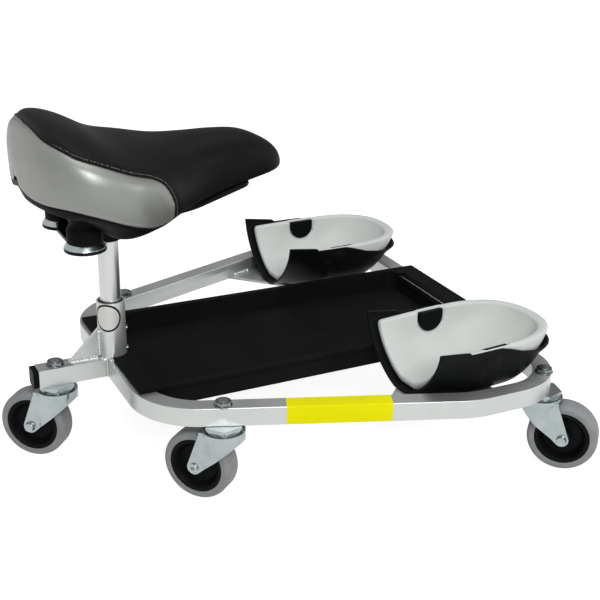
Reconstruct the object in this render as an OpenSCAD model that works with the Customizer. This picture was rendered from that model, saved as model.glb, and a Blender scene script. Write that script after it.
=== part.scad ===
// Kneeling creeper seat: a rolling frame of bent square tube with a sprung saddle on a post,
// a tool tray between the rails and two lined knee cups. Front is +X, up is +Z, and the
// origin lies on the floor under the middle of the whole seat.

/* [Frame] */
// Side of the square frame tube
tube = 20; // [18:1:24]
// Wall of the frame tube
tube_wall = 2; // [1.5:0.5:3]
// Distance from the post axis to the axis of the front cross tube
frame_l = 414; // [400:1:440]
// Width between the axes of the two parallel side tubes at the front
frame_w = 493; // [485:1:520]
// Angle by which the side tubes spread towards the front
splay = 20.5; // [19:0.5:21]
// Distance from the axis of the front cross tube back to the bend where the sides turn parallel
front_run = 111; // [106:1:118]
// Bend radius at the rear corners, on the tube axis
rear_bend_r = 70; // [60:1:78]
// Bend radius where the sides turn parallel, on the tube axis
side_bend_r = 80; // [60:1:100]
// Bend radius at the front corners, on the tube axis
front_bend_r = 58; // [54:1:62]

/* [Post sleeve] */
// Outside diameter of the seat post
post_d = 22.2; // [20:0.1:25.4]
// Wall of the seat post
post_wall = 2; // [1.5:0.5:3]
// Outside diameter of the welded sleeve
sleeve_d = 30; // [29:0.5:34]
// Wall of the welded sleeve
sleeve_wall = 2; // [1.5:0.1:2.5]
// Height of the sleeve from the underside of the frame
sleeve_h = 84.5; // [78:0.5:95]
// Running clearance of the post in its bush, on the radius
post_clear = 0.08; // [0.03:0.01:0.1]
// Length of post that stands in the sleeve
post_hold = 52; // [46:1:60]
// Distance from the post axis to the end of the rear stub tube
stub_l = 84; // [80:1:90]
// Length of each leg of the gusset behind the sleeve
gusset_leg = 35; // [28:1:38]
// Thickness of the gusset plate
gusset_t = 4; // [3:0.5:6]

/* [Casters] */
// Wheel diameter
wheel_d = 75; // [70:1:78]
// Width of the tyre
wheel_w = 25; // [22:1:27]
// Diameter of the dished hub inside the tyre
hub_d = 58.6; // [52:0.2:60]
// Horizontal distance from the swivel axis to the axle
trail = 26.2; // [24:0.2:30]
// Diameter of the axle rivet
axle_d = 8; // [7:0.5:9]
// Diameter of the threaded stem
stem_d = 10; // [8:1:12]
// Thickness of the pressed fork steel
fork_t = 2.5; // [2:0.1:3]
// Diameter of the fork's round crown
crown_d = 44.5; // [43:0.5:48]
// Distance from the swivel axis forward to the edge of the fork's flat crown
crown_front = 20; // [18:0.5:22]
// Height of the hexagonal race above its round base
race_hex_h = 6; // [5:0.5:8]
// Width of the hexagonal race across its flats
race_af = 36; // [32:0.5:37]
// Distance from the post axis back to the rear stem
rear_stem_x = 64; // [62:1:66]
// Distance from the post axis forward to the two middle stems
mid_stem_x = 64; // [60:1:90]
// Angle round the front corner at which the front stems stand
front_stem_a = 41; // [38:1:50]
// How far the middle and front stems stand outside the tube's axis
stem_out = 2; // [0:0.5:2]
// Heading of the rear wheel's trail
rear_heading = 139; // [100:1:180]
// Heading of the right middle wheel's trail
mid_right_heading = 130; // [100:1:180]
// Heading of the left middle wheel's trail
mid_left_heading = 40; // [0:1:100]
// Heading of the right front wheel's trail, mirrored on the left
front_heading = -43; // [-60:1:0]

/* [Tool tray] */
// Half width of the tray's rim at the post end
tray_rear_w = 209; // [200:1:216]
// Width of the tray's rim at the front end
tray_front_w = 198; // [190:1:206]
// Depth inside the tray
tray_depth = 23; // [16:1:28]
// Wall of the moulded tray
tray_wall = 2.5; // [2:0.5:3]
// Width of the rim along each side
tray_rim = 8; // [5:0.5:12]
// Thickness of the flanges that rest on the cross tubes
flange_t = 3.5; // [2.5:0.5:5]
// How far the rear flange reaches behind the post axis
flange_back = 5; // [3:0.5:8]
// Depth of the lip that hooks over the front tube
lip_h = 9; // [6:0.5:14]

/* [Knee cups] */
// Distance from the axis of the front cross tube back to the bolt under each cup
cup_set = 97; // [93:0.5:100]
// Distance from the axis of the side tube in to the bolt under each cup
cup_in = 77.5; // [75:0.5:79]
// Angle that the right cup is turned on its bolt, its nose inwards
cup_turn_right = 5; // [0:0.5:6]
// Angle that the left cup is turned on its bolt, its nose outwards
cup_turn_left = 1.5; // [0:0.5:2]
// Width of the shell between its rear corners
cup_w = 134; // [126:1:136]
// Width of the shell at the bolt
cup_mid_w = 132; // [124:1:133]
// Height of the shell's rear corners above its floor
cup_h = 66; // [60:1:72]
// Distance from the bolt back to the open end
cup_back = 60; // [54:1:64]
// Distance from the bolt forward to where the nose begins to round
cup_straight = 35; // [28:1:38]
// Length of the rounded nose at the rim
cup_nose = 88; // [80:1:88]
// Wall of the moulded shell
cup_wall = 3; // [2.5:0.5:4]
// Thickness of the foam liner along the sides
liner_t = 8; // [6:0.5:11]
// Thickness of the foam liner round the nose
liner_nose_t = 13; // [8:0.5:16]
// Height of the liner's rim above the shell floor
liner_h = 57; // [50:1:60]
// How far the liner is set back from the open end
liner_set = 9; // [6:0.5:14]
// Width of the D-shaped buttons that hold the liner
button_w = 30.5; // [26:0.5:36]
// Thickness of the buttons
button_t = 5; // [3:0.5:6]
// Thickness of the plate under each cup
bracket_t = 3; // [2.5:0.5:4]

/* [Saddle] */
// Length of the cushion
saddle_l = 283; // [260:1:300]
// Width of the cushion across its wings
saddle_w = 226; // [200:1:240]
// Height of the cushion between its lowest edge and its highest crown
saddle_h = 103; // [90:1:110]
// Distance from the post axis to the rear of the cushion
saddle_back = 89; // [80:1:95]
// Height of the tilt bolt above the top of the sleeve
tilt_rise = 97; // [94:1:110]
// Height of the cushion's lowest edge above the tilt bolt
edge_rise = 4.5; // [2:0.5:8]
// Thickness of the moulded base pan
pan_t = 3; // [2.5:0.5:4]
// Diameter of the saddle rail wire
rail_d = 7; // [6:0.5:8]
// Distance from the centre line to each saddle rail
rail_y = 19.2; // [19:0.1:21]
// Diameter of the rubber springs
spring_d = 36; // [32:1:37]
// Distance from the centre line to each rubber spring
spring_y = 42; // [41.5:0.5:46]

/* [Hidden] */

$fn = 64;

// One overrun serves every cut
over = 1;
// Gap between curved or moving neighbours, and between soft pieces and what holds them
gap = 0.3;
// Slide-in fit of pieces that are fixed together
fit = 0.05;
// Running clearance of the hinge pins, on the radius
run_fit = 0.06;
// Clearance of a bolt in its hole, on the radius
bolt_clear = 0.15;

// Heights up the caster, which carry the frame
wheel_r = wheel_d / 2;
crown_gap = 1.6;
crown_t = 2.6;
race_base_h = 1.5;
crown_z = wheel_d + crown_gap;
race_z = crown_z + crown_t + gap;
frame_z = race_z + race_base_h + race_hex_h;
frame_top = frame_z + tube;

// Plan of the left rail's axis, from the rear cross tube to the front one
right_angle = 90;
side_bend_x = frame_l - front_run;
side_y = frame_w / 2;
rear_y = side_y - tan(splay) * side_bend_x;
rear_run = rear_bend_r * tan((right_angle - splay) / 2);
side_run = side_bend_r * tan(splay / 2);
rear_c = [rear_bend_r, rear_y - rear_run];
side_c = [side_bend_x + side_run, side_y - side_bend_r];
front_c = [frame_l - front_bend_r, side_y - front_bend_r];

// Height of the side tube's axis from the centre line, at a distance ahead of the post
function side_axis_y(x) = rear_y + tan(splay) * x;

// Stems: place of each swivel axis, heading of its trail, and side (1 left, -1 right)
front_stem = front_c + (front_bend_r + stem_out) * [cos(front_stem_a), sin(front_stem_a)];
mid_stem = [mid_stem_x, side_axis_y(mid_stem_x)] + stem_out * [-sin(splay), cos(splay)];
stem_rear_at = [-rear_stem_x, 0];

// Reach of a wheel's rounded tyre along X from its centre, for a heading
tyre_round = 5;
function wheel_reach(a) = (wheel_r - tyre_round) * abs(cos(a)) + (wheel_w / 2 - tyre_round) * abs(sin(a))
    + tyre_round;
rear_end = -rear_stem_x + trail * cos(rear_heading) - wheel_reach(rear_heading);
front_end = front_stem[0] + trail * cos(front_heading) + wheel_reach(front_heading);
mid_x = (rear_end + front_end) / 2;

// Colours
silver_paint = "#b9bcb9";
black_plastic = "#18191a";
zinc = "#c3c8ca";
tyre_grey = "#7b7d7f";
foam_grey = "#c2c6c3";
vinyl_black = "#1d1d1d";
rubber_black = "#101010";

// Moves what is drawn from the post axis to the shared origin
module from_post() { translate([-mid_x, 0, 0]) children(); }

// Draws a left-hand piece on the left (1) or mirrored to the right (-1)
module on_side(side) { mirror([0, side < 0 ? 1 : 0, 0]) children(); }

// Closed loft through rings of equal length, capped with fans about each end ring's middle
module loft(rings) {
    n = len(rings[0]);
    m = len(rings);
    low = n * m;
    points = concat([for (r = rings) each r], [ring_middle(rings[0]), ring_middle(rings[m - 1])]);
    sides = [for (i = [0:m - 2], j = [0:n - 1]) let (k = (j + 1) % n, a = i * n, b = a + n)
        each [[a + j, b + j, b + k], [a + j, b + k, a + k]]];
    ends = [for (j = [0:n - 1]) let (k = (j + 1) % n, t = (m - 1) * n)
        each [[low, j, k], [low + 1, t + k, t + j]]];
    polyhedron(points = points, faces = concat(sides, ends));
}
function ring_middle(r) = [for (c = [0:2]) ([for (p = r) 1] * [for (p = r) p[c]]) / len(r)];
function ease(t) = t <= 0 ? 0 : t >= 1 ? 1 : t * t * (3 - 2 * t);
function rise(k, p, q) = pow(max(1 - pow(1 - min(k, 1), p), 0), 1 / q);

// Value of a column of a table at a smooth place between its rows
function smooth_at(table, t, c) = let (n = len(table) - 1, i = min(floor(t), n - 1), f = t - i,
        a = table[max(i - 1, 0)][c], b = table[i][c], d = table[i + 1][c], e = table[min(i + 2, n)][c])
    b + f * ((d - a) / 2 + f * (a - 2.5 * b + 2 * d - e / 2 + f * (1.5 * (b - d) + (e - a) / 2)));

// Hexagonal prism from its width across flats
module hex(af, h) { cylinder(r = af / sqrt(3), h = h, $fn = 6); }

// Square tube frame
module straight_run(l, w) { rotate([90, 0, 90]) linear_extrude(l) square(w, center = true); }

// Edge of the left rail in plan, at a distance outside its axis (inside if it is below 0)
bend_step = 2.5;
function arc(c, r, a, b) = let (n = ceil(abs(b - a) / bend_step))
    [for (i = [0:n]) let (t = a + (b - a) * i / n) c + r * [cos(t), sin(t)]];
function rail_edge(o, start) = concat([[-o, start]],
    arc(rear_c, rear_bend_r + o, 2 * right_angle, right_angle + splay),
    arc(side_c, side_bend_r + o, right_angle + splay, right_angle),
    arc(front_c, front_bend_r + o, right_angle, 0), [[frame_l + o, start]]);

// The left rail as a solid bar of width w, from the sleeve round to the middle of the front
module rail_bar(w, start) {
    inner = rail_edge(-w / 2, start);
    linear_extrude(w, center = true)
        polygon(concat(rail_edge(w / 2, start), [for (i = [len(inner) - 1:-1:0]) inner[i]]));
}

module stem_hole(at) {
    translate([at[0], at[1], frame_z - over]) cylinder(r = stem_d / 2 + bolt_clear, h = tube + 2 * over);
}

module side_rail(side) {
    color(silver_paint) from_post() on_side(side) difference() {
        translate([0, 0, frame_z + tube / 2]) difference() {
            rail_bar(tube, 0);
            rail_bar(tube - 2 * tube_wall, -over);
        }
        translate([0, 0, frame_z - over]) cylinder(r = sleeve_d / 2 + fit, h = tube + 2 * over);
        stem_hole(mid_stem);
        stem_hole(front_stem);
    }
}
module side_rail_right() { side_rail(-1); }
module side_rail_left() { side_rail(1); }

// Sleeve, bush and set screws
sleeve_top = frame_z + sleeve_h;
bush_r = sleeve_d / 2 - sleeve_wall;
bush_drop = 1.5;
screw_d = 6;
screw_socket_af = 3;
screw_up = 1.5;
screw_side = -12;
screw_low_share = 0.32;
screw_high_share = 0.6;
screw_heights = [for (s = [screw_low_share, screw_high_share]) frame_z + s * sleeve_h];

// Draws something at each set screw, along the screw's axis and away from the post
module at_set_screws(r) {
    for (z = screw_heights) rotate([0, 0, screw_side]) translate([r, 0, z]) rotate([0, 90, 0]) children();
}
module screw_bores() { at_set_screws(0) cylinder(r = screw_d / 2 + bolt_clear, h = sleeve_d); }

module post_sleeve() {
    color(silver_paint) from_post() difference() {
        translate([0, 0, frame_z]) cylinder(r = sleeve_d / 2, h = sleeve_h);
        translate([0, 0, frame_z - over]) cylinder(r = bush_r, h = sleeve_h + 2 * over);
        screw_bores();
    }
}

module sleeve_bush() {
    color(black_plastic) from_post() difference() {
        translate([0, 0, frame_z]) cylinder(r = bush_r - fit, h = sleeve_h - bush_drop);
        translate([0, 0, frame_z - over]) cylinder(r = post_d / 2 + post_clear, h = sleeve_h + 2 * over);
        screw_bores();
    }
}

module set_screws() {
    l = sleeve_d / 2 - post_d / 2 - gap + screw_up;
    color(zinc) from_post() at_set_screws(post_d / 2 + gap) difference() {
        cylinder(r = screw_d / 2, h = l);
        translate([0, 0, l - screw_up]) hex(screw_socket_af, screw_up + over);
    }
}

// Rear stub, its end cap and the gusset
module rear_stub() {
    color(silver_paint) from_post() difference() {
        translate([-stub_l, 0, frame_z + tube / 2]) straight_run(stub_l, tube);
        translate([-stub_l - over, 0, frame_z + tube / 2]) straight_run(stub_l + over, tube - 2 * tube_wall);
        translate([0, 0, frame_z - over]) cylinder(r = sleeve_d / 2 + fit, h = tube + 2 * over);
        stem_hole(stem_rear_at);
    }
}

cap_head_t = 6;
cap_plug_l = 12;
cap_chamfer = 1.5;
module stub_end_cap() {
    plug = tube - 2 * tube_wall - 2 * fit;
    color(black_plastic) from_post() translate([-stub_l, 0, frame_z + tube / 2]) {
        difference() {
            straight_run(cap_plug_l, plug);
            translate([fit, 0, 0]) straight_run(cap_plug_l, plug - 2 * tube_wall);
        }
        translate([-cap_head_t, 0, 0]) rotate([90, 0, 90]) linear_extrude(cap_head_t)
            intersection() {
                square(tube, center = true);
                rotate(45) square(tube * sqrt(2) - 2 * cap_chamfer, center = true);
            }
    }
}

module gusset() {
    leg = sleeve_d / 2 + gusset_leg;
    color(silver_paint) from_post() difference() {
        translate([0, gusset_t / 2, frame_top]) rotate([90, 0, 0]) linear_extrude(gusset_t)
            polygon([[0, 0], [-leg, 0], [0, leg]]);
        translate([0, 0, frame_top - over]) cylinder(r = sleeve_d / 2 + fit, h = leg + 2 * over);
    }
}

// Plate welded inside each rail, with the cup's bolt hole; its outer edge follows the rail
cup_x = frame_l - cup_set;
cup_y = side_y - cup_in;
bracket_behind = 97;
bracket_ahead = 34;
bracket_start = cup_x - bracket_behind;
bracket_front = cup_x + bracket_ahead;
bracket_inner = 21;
bracket_side = 26;
bracket_step = 3;
cup_bolt_d = 6;
module cup_bracket(side) {
    r = side_bend_r - tube / 2 - fit;
    inner = cup_y - bracket_inner;
    color(silver_paint) from_post() on_side(side) difference() {
        translate([0, 0, frame_z]) linear_extrude(bracket_t) polygon(concat(
            [[bracket_start, side_axis_y(bracket_start) - (tube / 2 + fit) / cos(splay)],
                [cup_x - 2 * bracket_inner, inner], [cup_x + bracket_side, inner],
                [bracket_front, side_y - side_bend_r / 2], [bracket_front, side_c[1] + r]],
            [for (a = [0:bracket_step:splay]) side_c + r * [-sin(a), cos(a)]],
            [side_c + r * [-sin(splay), cos(splay)]]));
        translate([cup_x, cup_y, frame_z - over])
            cylinder(r = cup_bolt_d / 2 + bolt_clear, h = bracket_t + 2 * over);
    }
}
module cup_bracket_right() { cup_bracket(-1); }
module cup_bracket_left() { cup_bracket(1); }

// Tool tray
pan_gap = 1;
tray_corner = 12;
tray_x0 = sleeve_d / 2 + gap + tray_wall;
tray_x1 = frame_l - tube / 2 - pan_gap - tray_wall;
front_chamfer = 8;
flange_front = 17.5;
tray_top = frame_top + flange_t;
function tray_half(x) = (tray_rear_w + (tray_front_w - tray_rear_w) * (x + flange_back)
    / (frame_l + flange_front + flange_back)) / 2;

// Plan of the pan, with true round corners, inset all round
module tray_plan(inset) {
    a = tray_x0 + inset;
    b = tray_x1 - inset;
    r = tray_corner;
    wa = tray_half(tray_x0) - tray_rim - inset;
    wb = tray_half(tray_x1) - tray_rim - inset;
    polygon([[a + r, -wa], [b - r, -wb], [b - r, wb], [a + r, wa]]);
    translate([a, -wa + r]) square([b - a, 2 * min(wa, wb) - 2 * r]);
    for (s = [-1, 1]) {
        translate([a + r, s * (wa - r)]) circle(r);
        translate([b - r, s * (wb - r)]) circle(r);
    }
}

module tool_tray() {
    skirt = tray_depth - flange_t + tray_wall;
    color(black_plastic) from_post() difference() {
        union() {
            // Rim and both flanges, notched round the sleeve
            translate([0, 0, frame_top]) linear_extrude(flange_t) polygon([
                [-flange_back, -tray_half(-flange_back)], [frame_l + flange_front, -tray_front_w / 2],
                [frame_l + flange_front, tray_front_w / 2], [-flange_back, tray_half(-flange_back)]]);
            // Pan below the rim
            translate([0, 0, frame_top - skirt]) linear_extrude(skirt) tray_plan(-tray_wall);
            // Lip over the front tube
            translate([frame_l + tube / 2 + fit, -tray_front_w / 2, frame_top - lip_h])
                cube([flange_front - tube / 2 - fit, tray_front_w, lip_h]);
        }
        translate([0, 0, tray_top - tray_depth]) linear_extrude(tray_depth + over) tray_plan(0);
        // Slope where the front wall runs up over the cross tube
        translate([tray_x1, 0, tray_top]) rotate([90, 0, 0])
            linear_extrude(tray_front_w - 2 * tray_rim - 2 * tray_corner, center = true)
            polygon([[-over, over], [-over, -front_chamfer], [0, -front_chamfer], [front_chamfer + over, over]]);
        translate([0, 0, frame_top - over]) cylinder(r = sleeve_d / 2 + gap, h = flange_t + 2 * over);
        translate([-flange_back - over, -sleeve_d / 2 - gap, frame_top - over])
            cube([flange_back + over, sleeve_d + 2 * gap, flange_t + 2 * over]);
    }
}

// Knee cups. Heights are above the shell's floor, and the bolt is the middle of the plan.
cup_floor = frame_z + bracket_t;
rear_power = 1.6;
front_power = 1.6;
mid_power = 4;
mid_round = 3;
nose_power = 2.4;
flat_share = 0.03;
lip_flare = 5;
lip_low = 33;
lip_high = 42;
arc_steps = 14;
side_steps = 5;
cup_levels_shares = [0, 0.06, 0.13, 0.22, 0.34, 0.48, 0.64, 0.82, 1];

// Half width of the outline at a distance from the bolt, and reach of the nose
function cup_half(u, k, inset) = let (q = ease((u + cup_back) / cup_back),
        a = (cup_w / 2 - inset) * rise(k, rear_power, rear_power),
        b = (cup_mid_w / 2 - inset) * rise(k, mid_power, mid_round)) a + (b - a) * q;
function cup_ring(h, inset, nose_in, back, flare) = let (
        k = max(h - inset, 0) / (cup_h - inset) * (1 - flat_share) + flat_share,
        w = cup_half(cup_straight, k, inset),
        n = (cup_nose - inset - nose_in) * rise(k, front_power, front_power),
        f = flare * lip_flare * ease((h - lip_low) / (lip_high - lip_low)))
    concat(
        [for (i = [0:side_steps - 1]) let (u = -back + (cup_straight + back) * i / side_steps)
            [u, -cup_half(max(u, -cup_back), k, inset), h]],
        [for (i = [0:arc_steps]) let (a = -90 + 180 * i / arc_steps, c = cos(a), s = sin(a))
            [cup_straight + (n + f) * pow(abs(c), 2 / nose_power),
                sign(s) * (w + f * c) * pow(abs(s), 2 / nose_power), h]],
        [for (i = [side_steps - 1:-1:0]) let (u = -back + (cup_straight + back) * i / side_steps)
            [u, cup_half(max(u, -cup_back), k, inset), h]]);
module cup_body(inset, top, back, flare, nose_in = 0) {
    loft([for (s = cup_levels_shares) cup_ring(inset + (top - inset) * s, inset, nose_in, back, flare)]);
}
module at_cup(side) {
    from_post() translate([cup_x, side * cup_y, cup_floor])
        rotate([0, 0, side < 0 ? cup_turn_right : cup_turn_left]) children();
}

// Side view of what is trimmed off above the shell's rim: a tab at the open end, then a long dip
tab_end_share = 0.35;
tab_share = 0.907;
rim_share = 0.864;
dip_from_share = 0.6;
dip_mid_u_share = 0.2;
dip_mid_share = 0.726;
dip_end_u_share = 0.55;
dip_share = 0.611;
module rim_trim() {
    nose_u = cup_straight + cup_nose;
    tab_u = -cup_back * tab_end_share;
    rotate([90, 0, 0]) linear_extrude(cup_w + 2 * over, center = true) polygon([
        [-cup_back - over, cup_h], [-cup_back, cup_h], [tab_u, cup_h * tab_share],
        [tab_u + cup_wall, cup_h * rim_share], [cup_straight * dip_from_share, cup_h * rim_share],
        [cup_straight + cup_nose * dip_mid_u_share, cup_h * dip_mid_share],
        [cup_straight + cup_nose * dip_end_u_share, cup_h * dip_share],
        [nose_u + 2 * lip_flare, cup_h * dip_share], [nose_u + 2 * lip_flare, cup_h + 2 * over],
        [-cup_back - over, cup_h + 2 * over]]);
}

// Raised rib and pad moulded on each side wall
rib_u = -11;
rib_l = 7;
rib_low = 18;
rib_h = 22;
rib_up = 1.3;
pad_u = -3;
pad_l = 21;
pad_low = 33;
pad_h = 19;
pad_up = 0.8;
module raised(u, l, low, h, up) {
    intersection() {
        cup_body(-up, cup_h, cup_back, 1);
        translate([u, -cup_w, low]) cube([l, 2 * cup_w, h]);
    }
}

module cup_shell(side) {
    color(black_plastic) at_cup(side) difference() {
        union() {
            cup_body(0, cup_h, cup_back, 1);
            raised(rib_u, rib_l, rib_low, rib_h, rib_up);
            raised(pad_u, pad_l, pad_low, pad_h, pad_up);
        }
        cup_body(cup_wall, cup_h + over, cup_back + over, 1);
        rim_trim();
        translate([0, 0, -over]) cylinder(r = cup_bolt_d / 2 + bolt_clear, h = cup_wall + 2 * over);
    }
}
module cup_shell_right() { cup_shell(-1); }
module cup_shell_left() { cup_shell(1); }

// Foam liner, open at the back like the shell, with a pocket for each button
liner_out = cup_wall + gap;
liner_in = liner_out + liner_t;
button_drop = 2;
button_top = liner_h - button_drop;
button_flat_share = 0.25;
button_u = 17.5;
button_up = 1.5;
button_face = cup_mid_w / 2 - liner_in - button_up;

// D-shaped prism with its flat edge up, drawn outwards from the inside face
button_flat = button_w * button_flat_share;
module button_form(w, t) {
    rotate([90, 0, 0]) linear_extrude(t) difference() {
        union() {
            circle(d = w);
            translate([-w / 2, 0]) square([w, button_flat]);
        }
        translate([-w, button_flat]) square([2 * w, w]);
    }
}
module at_buttons(face) {
    for (s = [-1, 1]) mirror([0, s > 0 ? 1 : 0, 0])
        translate([button_u, -face, button_top - button_flat]) children();
}

module cup_liner(side) {
    color(foam_grey) at_cup(side) difference() {
        intersection() {
            cup_body(liner_out, cup_h + over, cup_back, 0);
            translate([-cup_back + liner_set, -cup_w, 0])
                cube([2 * (cup_straight + cup_nose), 2 * cup_w, liner_h]);
        }
        cup_body(liner_in, cup_h + 2 * over, cup_back + over, 0, liner_nose_t - liner_t);
        at_buttons(button_face - over) button_form(button_w + 2 * gap, button_t + gap + over);
        cylinder(r = cup_head_d / 2 + gap, h = liner_in + over);
    }
}
module cup_liner_right() { cup_liner(-1); }
module cup_liner_left() { cup_liner(1); }

module cup_buttons(side) {
    color(black_plastic) at_cup(side) at_buttons(button_face) button_form(button_w, button_t);
}
module cup_buttons_right() { cup_buttons(-1); }
module cup_buttons_left() { cup_buttons(1); }

// Bolt, with its nut under the plate, that holds each cup
cup_head_d = 16;
cup_head_h = 3.5;
cup_nut_af = 10;
cup_nut_h = 5;
module cup_bolts() {
    color(zinc) from_post() for (s = [-1, 1]) translate([cup_x, s * cup_y, cup_floor]) {
        translate([0, 0, cup_wall]) cylinder(r = cup_head_d / 2, h = cup_head_h);
        translate([0, 0, -bracket_t - cup_nut_h]) cylinder(r = cup_bolt_d / 2, h = cup_wall + bracket_t + cup_nut_h);
        translate([0, 0, -bracket_t - cup_nut_h]) hex(cup_nut_af, cup_nut_h);
    }
}

// Fasteners of the five stems
nut_af = 16;
nut_h = 3.8;
washer_d = 19;
washer_t = 1.2;
stem_tip = 0.4;
module at_stems() {
    for (p = [stem_rear_at, mid_stem, [mid_stem[0], -mid_stem[1]], front_stem, [front_stem[0], -front_stem[1]]])
        translate([p[0], p[1], frame_top]) children();
}
module stem_nuts() {
    color(zinc) from_post() at_stems() translate([0, 0, washer_t]) difference() {
        intersection() {
            hex(nut_af, nut_h);
            cylinder(r1 = nut_af / 2 + nut_h, r2 = nut_af / 2, h = nut_h);
        }
        translate([0, 0, -over]) cylinder(r = stem_d / 2 + fit, h = nut_h + 2 * over);
    }
}
module stem_washers() {
    color(zinc) from_post() at_stems() difference() {
        cylinder(r = washer_d / 2, h = washer_t);
        translate([0, 0, -over]) cylinder(r = stem_d / 2 + fit, h = washer_t + 2 * over);
    }
}

// Caster, drawn from its swivel axis with the trail along X
pin_d = 12;
pin_head_d = 17;
pin_head_h = 2.4;
race_base_d = 38;
race_round = 0.4;
lip_t = 1.5;
lip_up = 1.2;
fork_in = 13.8;
fork_back_h = 8;
fork_tip = 7.5;
crease_x = 15;
crease_back = -2;
module at_caster(at, heading, side) {
    from_post() on_side(side) translate([at[0], at[1], 0]) rotate([0, 0, -heading]) children();
}

module caster_stem() {
    color(zinc) {
        translate([0, 0, crown_z - gap - pin_head_h]) cylinder(r = pin_head_d / 2, h = pin_head_h);
        translate([0, 0, crown_z - gap]) cylinder(r = pin_d / 2, h = crown_t + 2 * gap);
        translate([0, 0, race_z]) cylinder(r = race_base_d / 2, h = race_base_h);
        translate([0, 0, race_z + race_base_h]) intersection() {
            hex(race_af, race_hex_h);
            cylinder(r1 = race_base_d / 2 - race_round, r2 = race_base_d / 2 + race_hex_h / 2, h = race_hex_h);
        }
        translate([0, 0, frame_z]) cylinder(r = stem_d / 2, h = tube + washer_t + nut_h + stem_tip);
    }
}

// Point where a line from p touches a circle, on the chosen hand
function touch(p, c, r, hand) = let (v = c - p, a = atan2(v[1], v[0]) + hand * asin(r / norm(v)))
    p + sqrt(v * v - r * r) * [cos(a), sin(a)];

// Side view of the fork: from the crown's ends down to the round tip at the axle
module fork_side() {
    tip = [trail, wheel_r];
    top = crown_z + crown_t;
    rear = [-crown_d / 2, top - fork_back_h];
    front = [crown_front, top - crown_t];
    polygon([[-crown_d / 2, top], rear, touch(rear, tip, fork_tip, -1), tip, touch(front, tip, fork_tip, 1),
        front, [crown_front, top]]);
    translate(tip) circle(fork_tip);
}

// Plan of the fork's walls: straight legs that flare out into a round skirt behind the wheel
module fork_plan() {
    leg = fork_in + fork_t;
    r = crown_d / 2;
    difference() {
        circle(r);
        circle(r - fork_t);
        translate([crease_back, -2 * r]) square([2 * r, 4 * r]);
    }
    for (s = [-1, 1]) mirror([0, s > 0 ? 1 : 0]) {
        translate([crease_x, fork_in]) square([trail + fork_tip - crease_x, fork_t]);
        polygon([[crease_x, fork_in], [crease_x, leg], [crease_back - fit, r - fit], [crease_back - fit, r - fork_t + fit]]);
    }
}

module caster_fork() {
    leg = fork_in + fork_t;
    color(zinc) difference() {
        union() {
            intersection() {
                rotate([90, 0, 0]) linear_extrude(2 * crown_d, center = true) fork_side();
                linear_extrude(crown_z + crown_t) fork_plan();
            }
            translate([0, 0, crown_z]) cylinder(r = crown_d / 2, h = crown_t);
            translate([0, -leg, crown_z]) cube([crown_front, 2 * leg, crown_t]);
            translate([0, 0, crown_z + crown_t]) difference() {
                cylinder(r = crown_d / 2, h = lip_up);
                translate([0, 0, -over]) cylinder(r = crown_d / 2 - lip_t, h = lip_up + 2 * over);
            }
        }
        translate([0, 0, crown_z - over]) cylinder(r = pin_d / 2 + run_fit, h = crown_t + 2 * over);
        translate([trail, 0, wheel_r]) rotate([90, 0, 0])
            cylinder(r = axle_d / 2 + fit, h = 2 * leg + 2 * over, center = true);
    }
}

// Axle rivet with its spacer tube
axle_head_d = 11.5;
axle_head_h = 4;
clinch_d = 10;
clinch_h = 2;
spacer_d = 12;
module caster_axle() {
    leg = fork_in + fork_t;
    color(zinc) translate([trail, 0, wheel_r]) rotate([-90, 0, 0]) {
        difference() {
            union() {
                translate([0, 0, -leg - clinch_h]) cylinder(r = axle_d / 2, h = 2 * leg + clinch_h);
                translate([0, 0, leg]) cylinder(r1 = axle_head_d / 2, r2 = axle_head_d / 2 - axle_head_h / 4,
                    h = axle_head_h);
                translate([0, 0, -leg - clinch_h]) cylinder(r = clinch_d / 2, h = clinch_h);
            }
            translate([0, 0, -leg - clinch_h - over]) cylinder(r = axle_d / 4, h = clinch_h + over);
        }
        difference() {
            cylinder(r = spacer_d / 2, h = 2 * fork_in - 2 * fit, center = true);
            cylinder(r = axle_d / 2 + fit, h = 2 * fork_in + 2 * over, center = true);
        }
    }
}

// Dished hub: boss, web and rim
boss_d = 20;
web_t = 6;
hub_rim_t = 4;
hub_rim_w = 24;
dish_run = 5;
module caster_hub() {
    r = hub_d / 2 - fit;
    color(black_plastic) translate([trail, 0, wheel_r]) rotate([90, 0, 0]) rotate_extrude()
        difference() {
            polygon([[boss_d / 2 - fork_t, -fork_in + gap], [boss_d / 2, -fork_in + fork_t], [boss_d / 2, -web_t / 2],
                [r - hub_rim_t - dish_run, -web_t / 2], [r - hub_rim_t, -hub_rim_w / 2], [r, -hub_rim_w / 2],
                [r, hub_rim_w / 2], [r - hub_rim_t, hub_rim_w / 2], [r - hub_rim_t - dish_run, web_t / 2],
                [boss_d / 2, web_t / 2], [boss_d / 2, fork_in - fork_t], [boss_d / 2 - fork_t, fork_in - gap],
                [0, fork_in - gap], [0, -fork_in + gap]]);
            translate([0, -fork_in]) square([spacer_d / 2 + run_fit, 2 * fork_in]);
        }
}

module caster_tyre() {
    flat = wheel_w / 2 - tyre_round;
    color(tyre_grey) translate([trail, 0, wheel_r]) rotate([90, 0, 0]) rotate_extrude($fn = 96) {
        translate([hub_d / 2, -flat]) square([wheel_r - hub_d / 2, 2 * flat]);
        translate([hub_d / 2, -wheel_w / 2]) square([wheel_r - tyre_round - hub_d / 2, wheel_w]);
        for (s = [-1, 1]) difference() {
            translate([wheel_r - tyre_round, s * flat]) circle(tyre_round);
            translate([0, -wheel_w]) square([hub_d / 2 + fit, 2 * wheel_w]);
        }
    }
}

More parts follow.
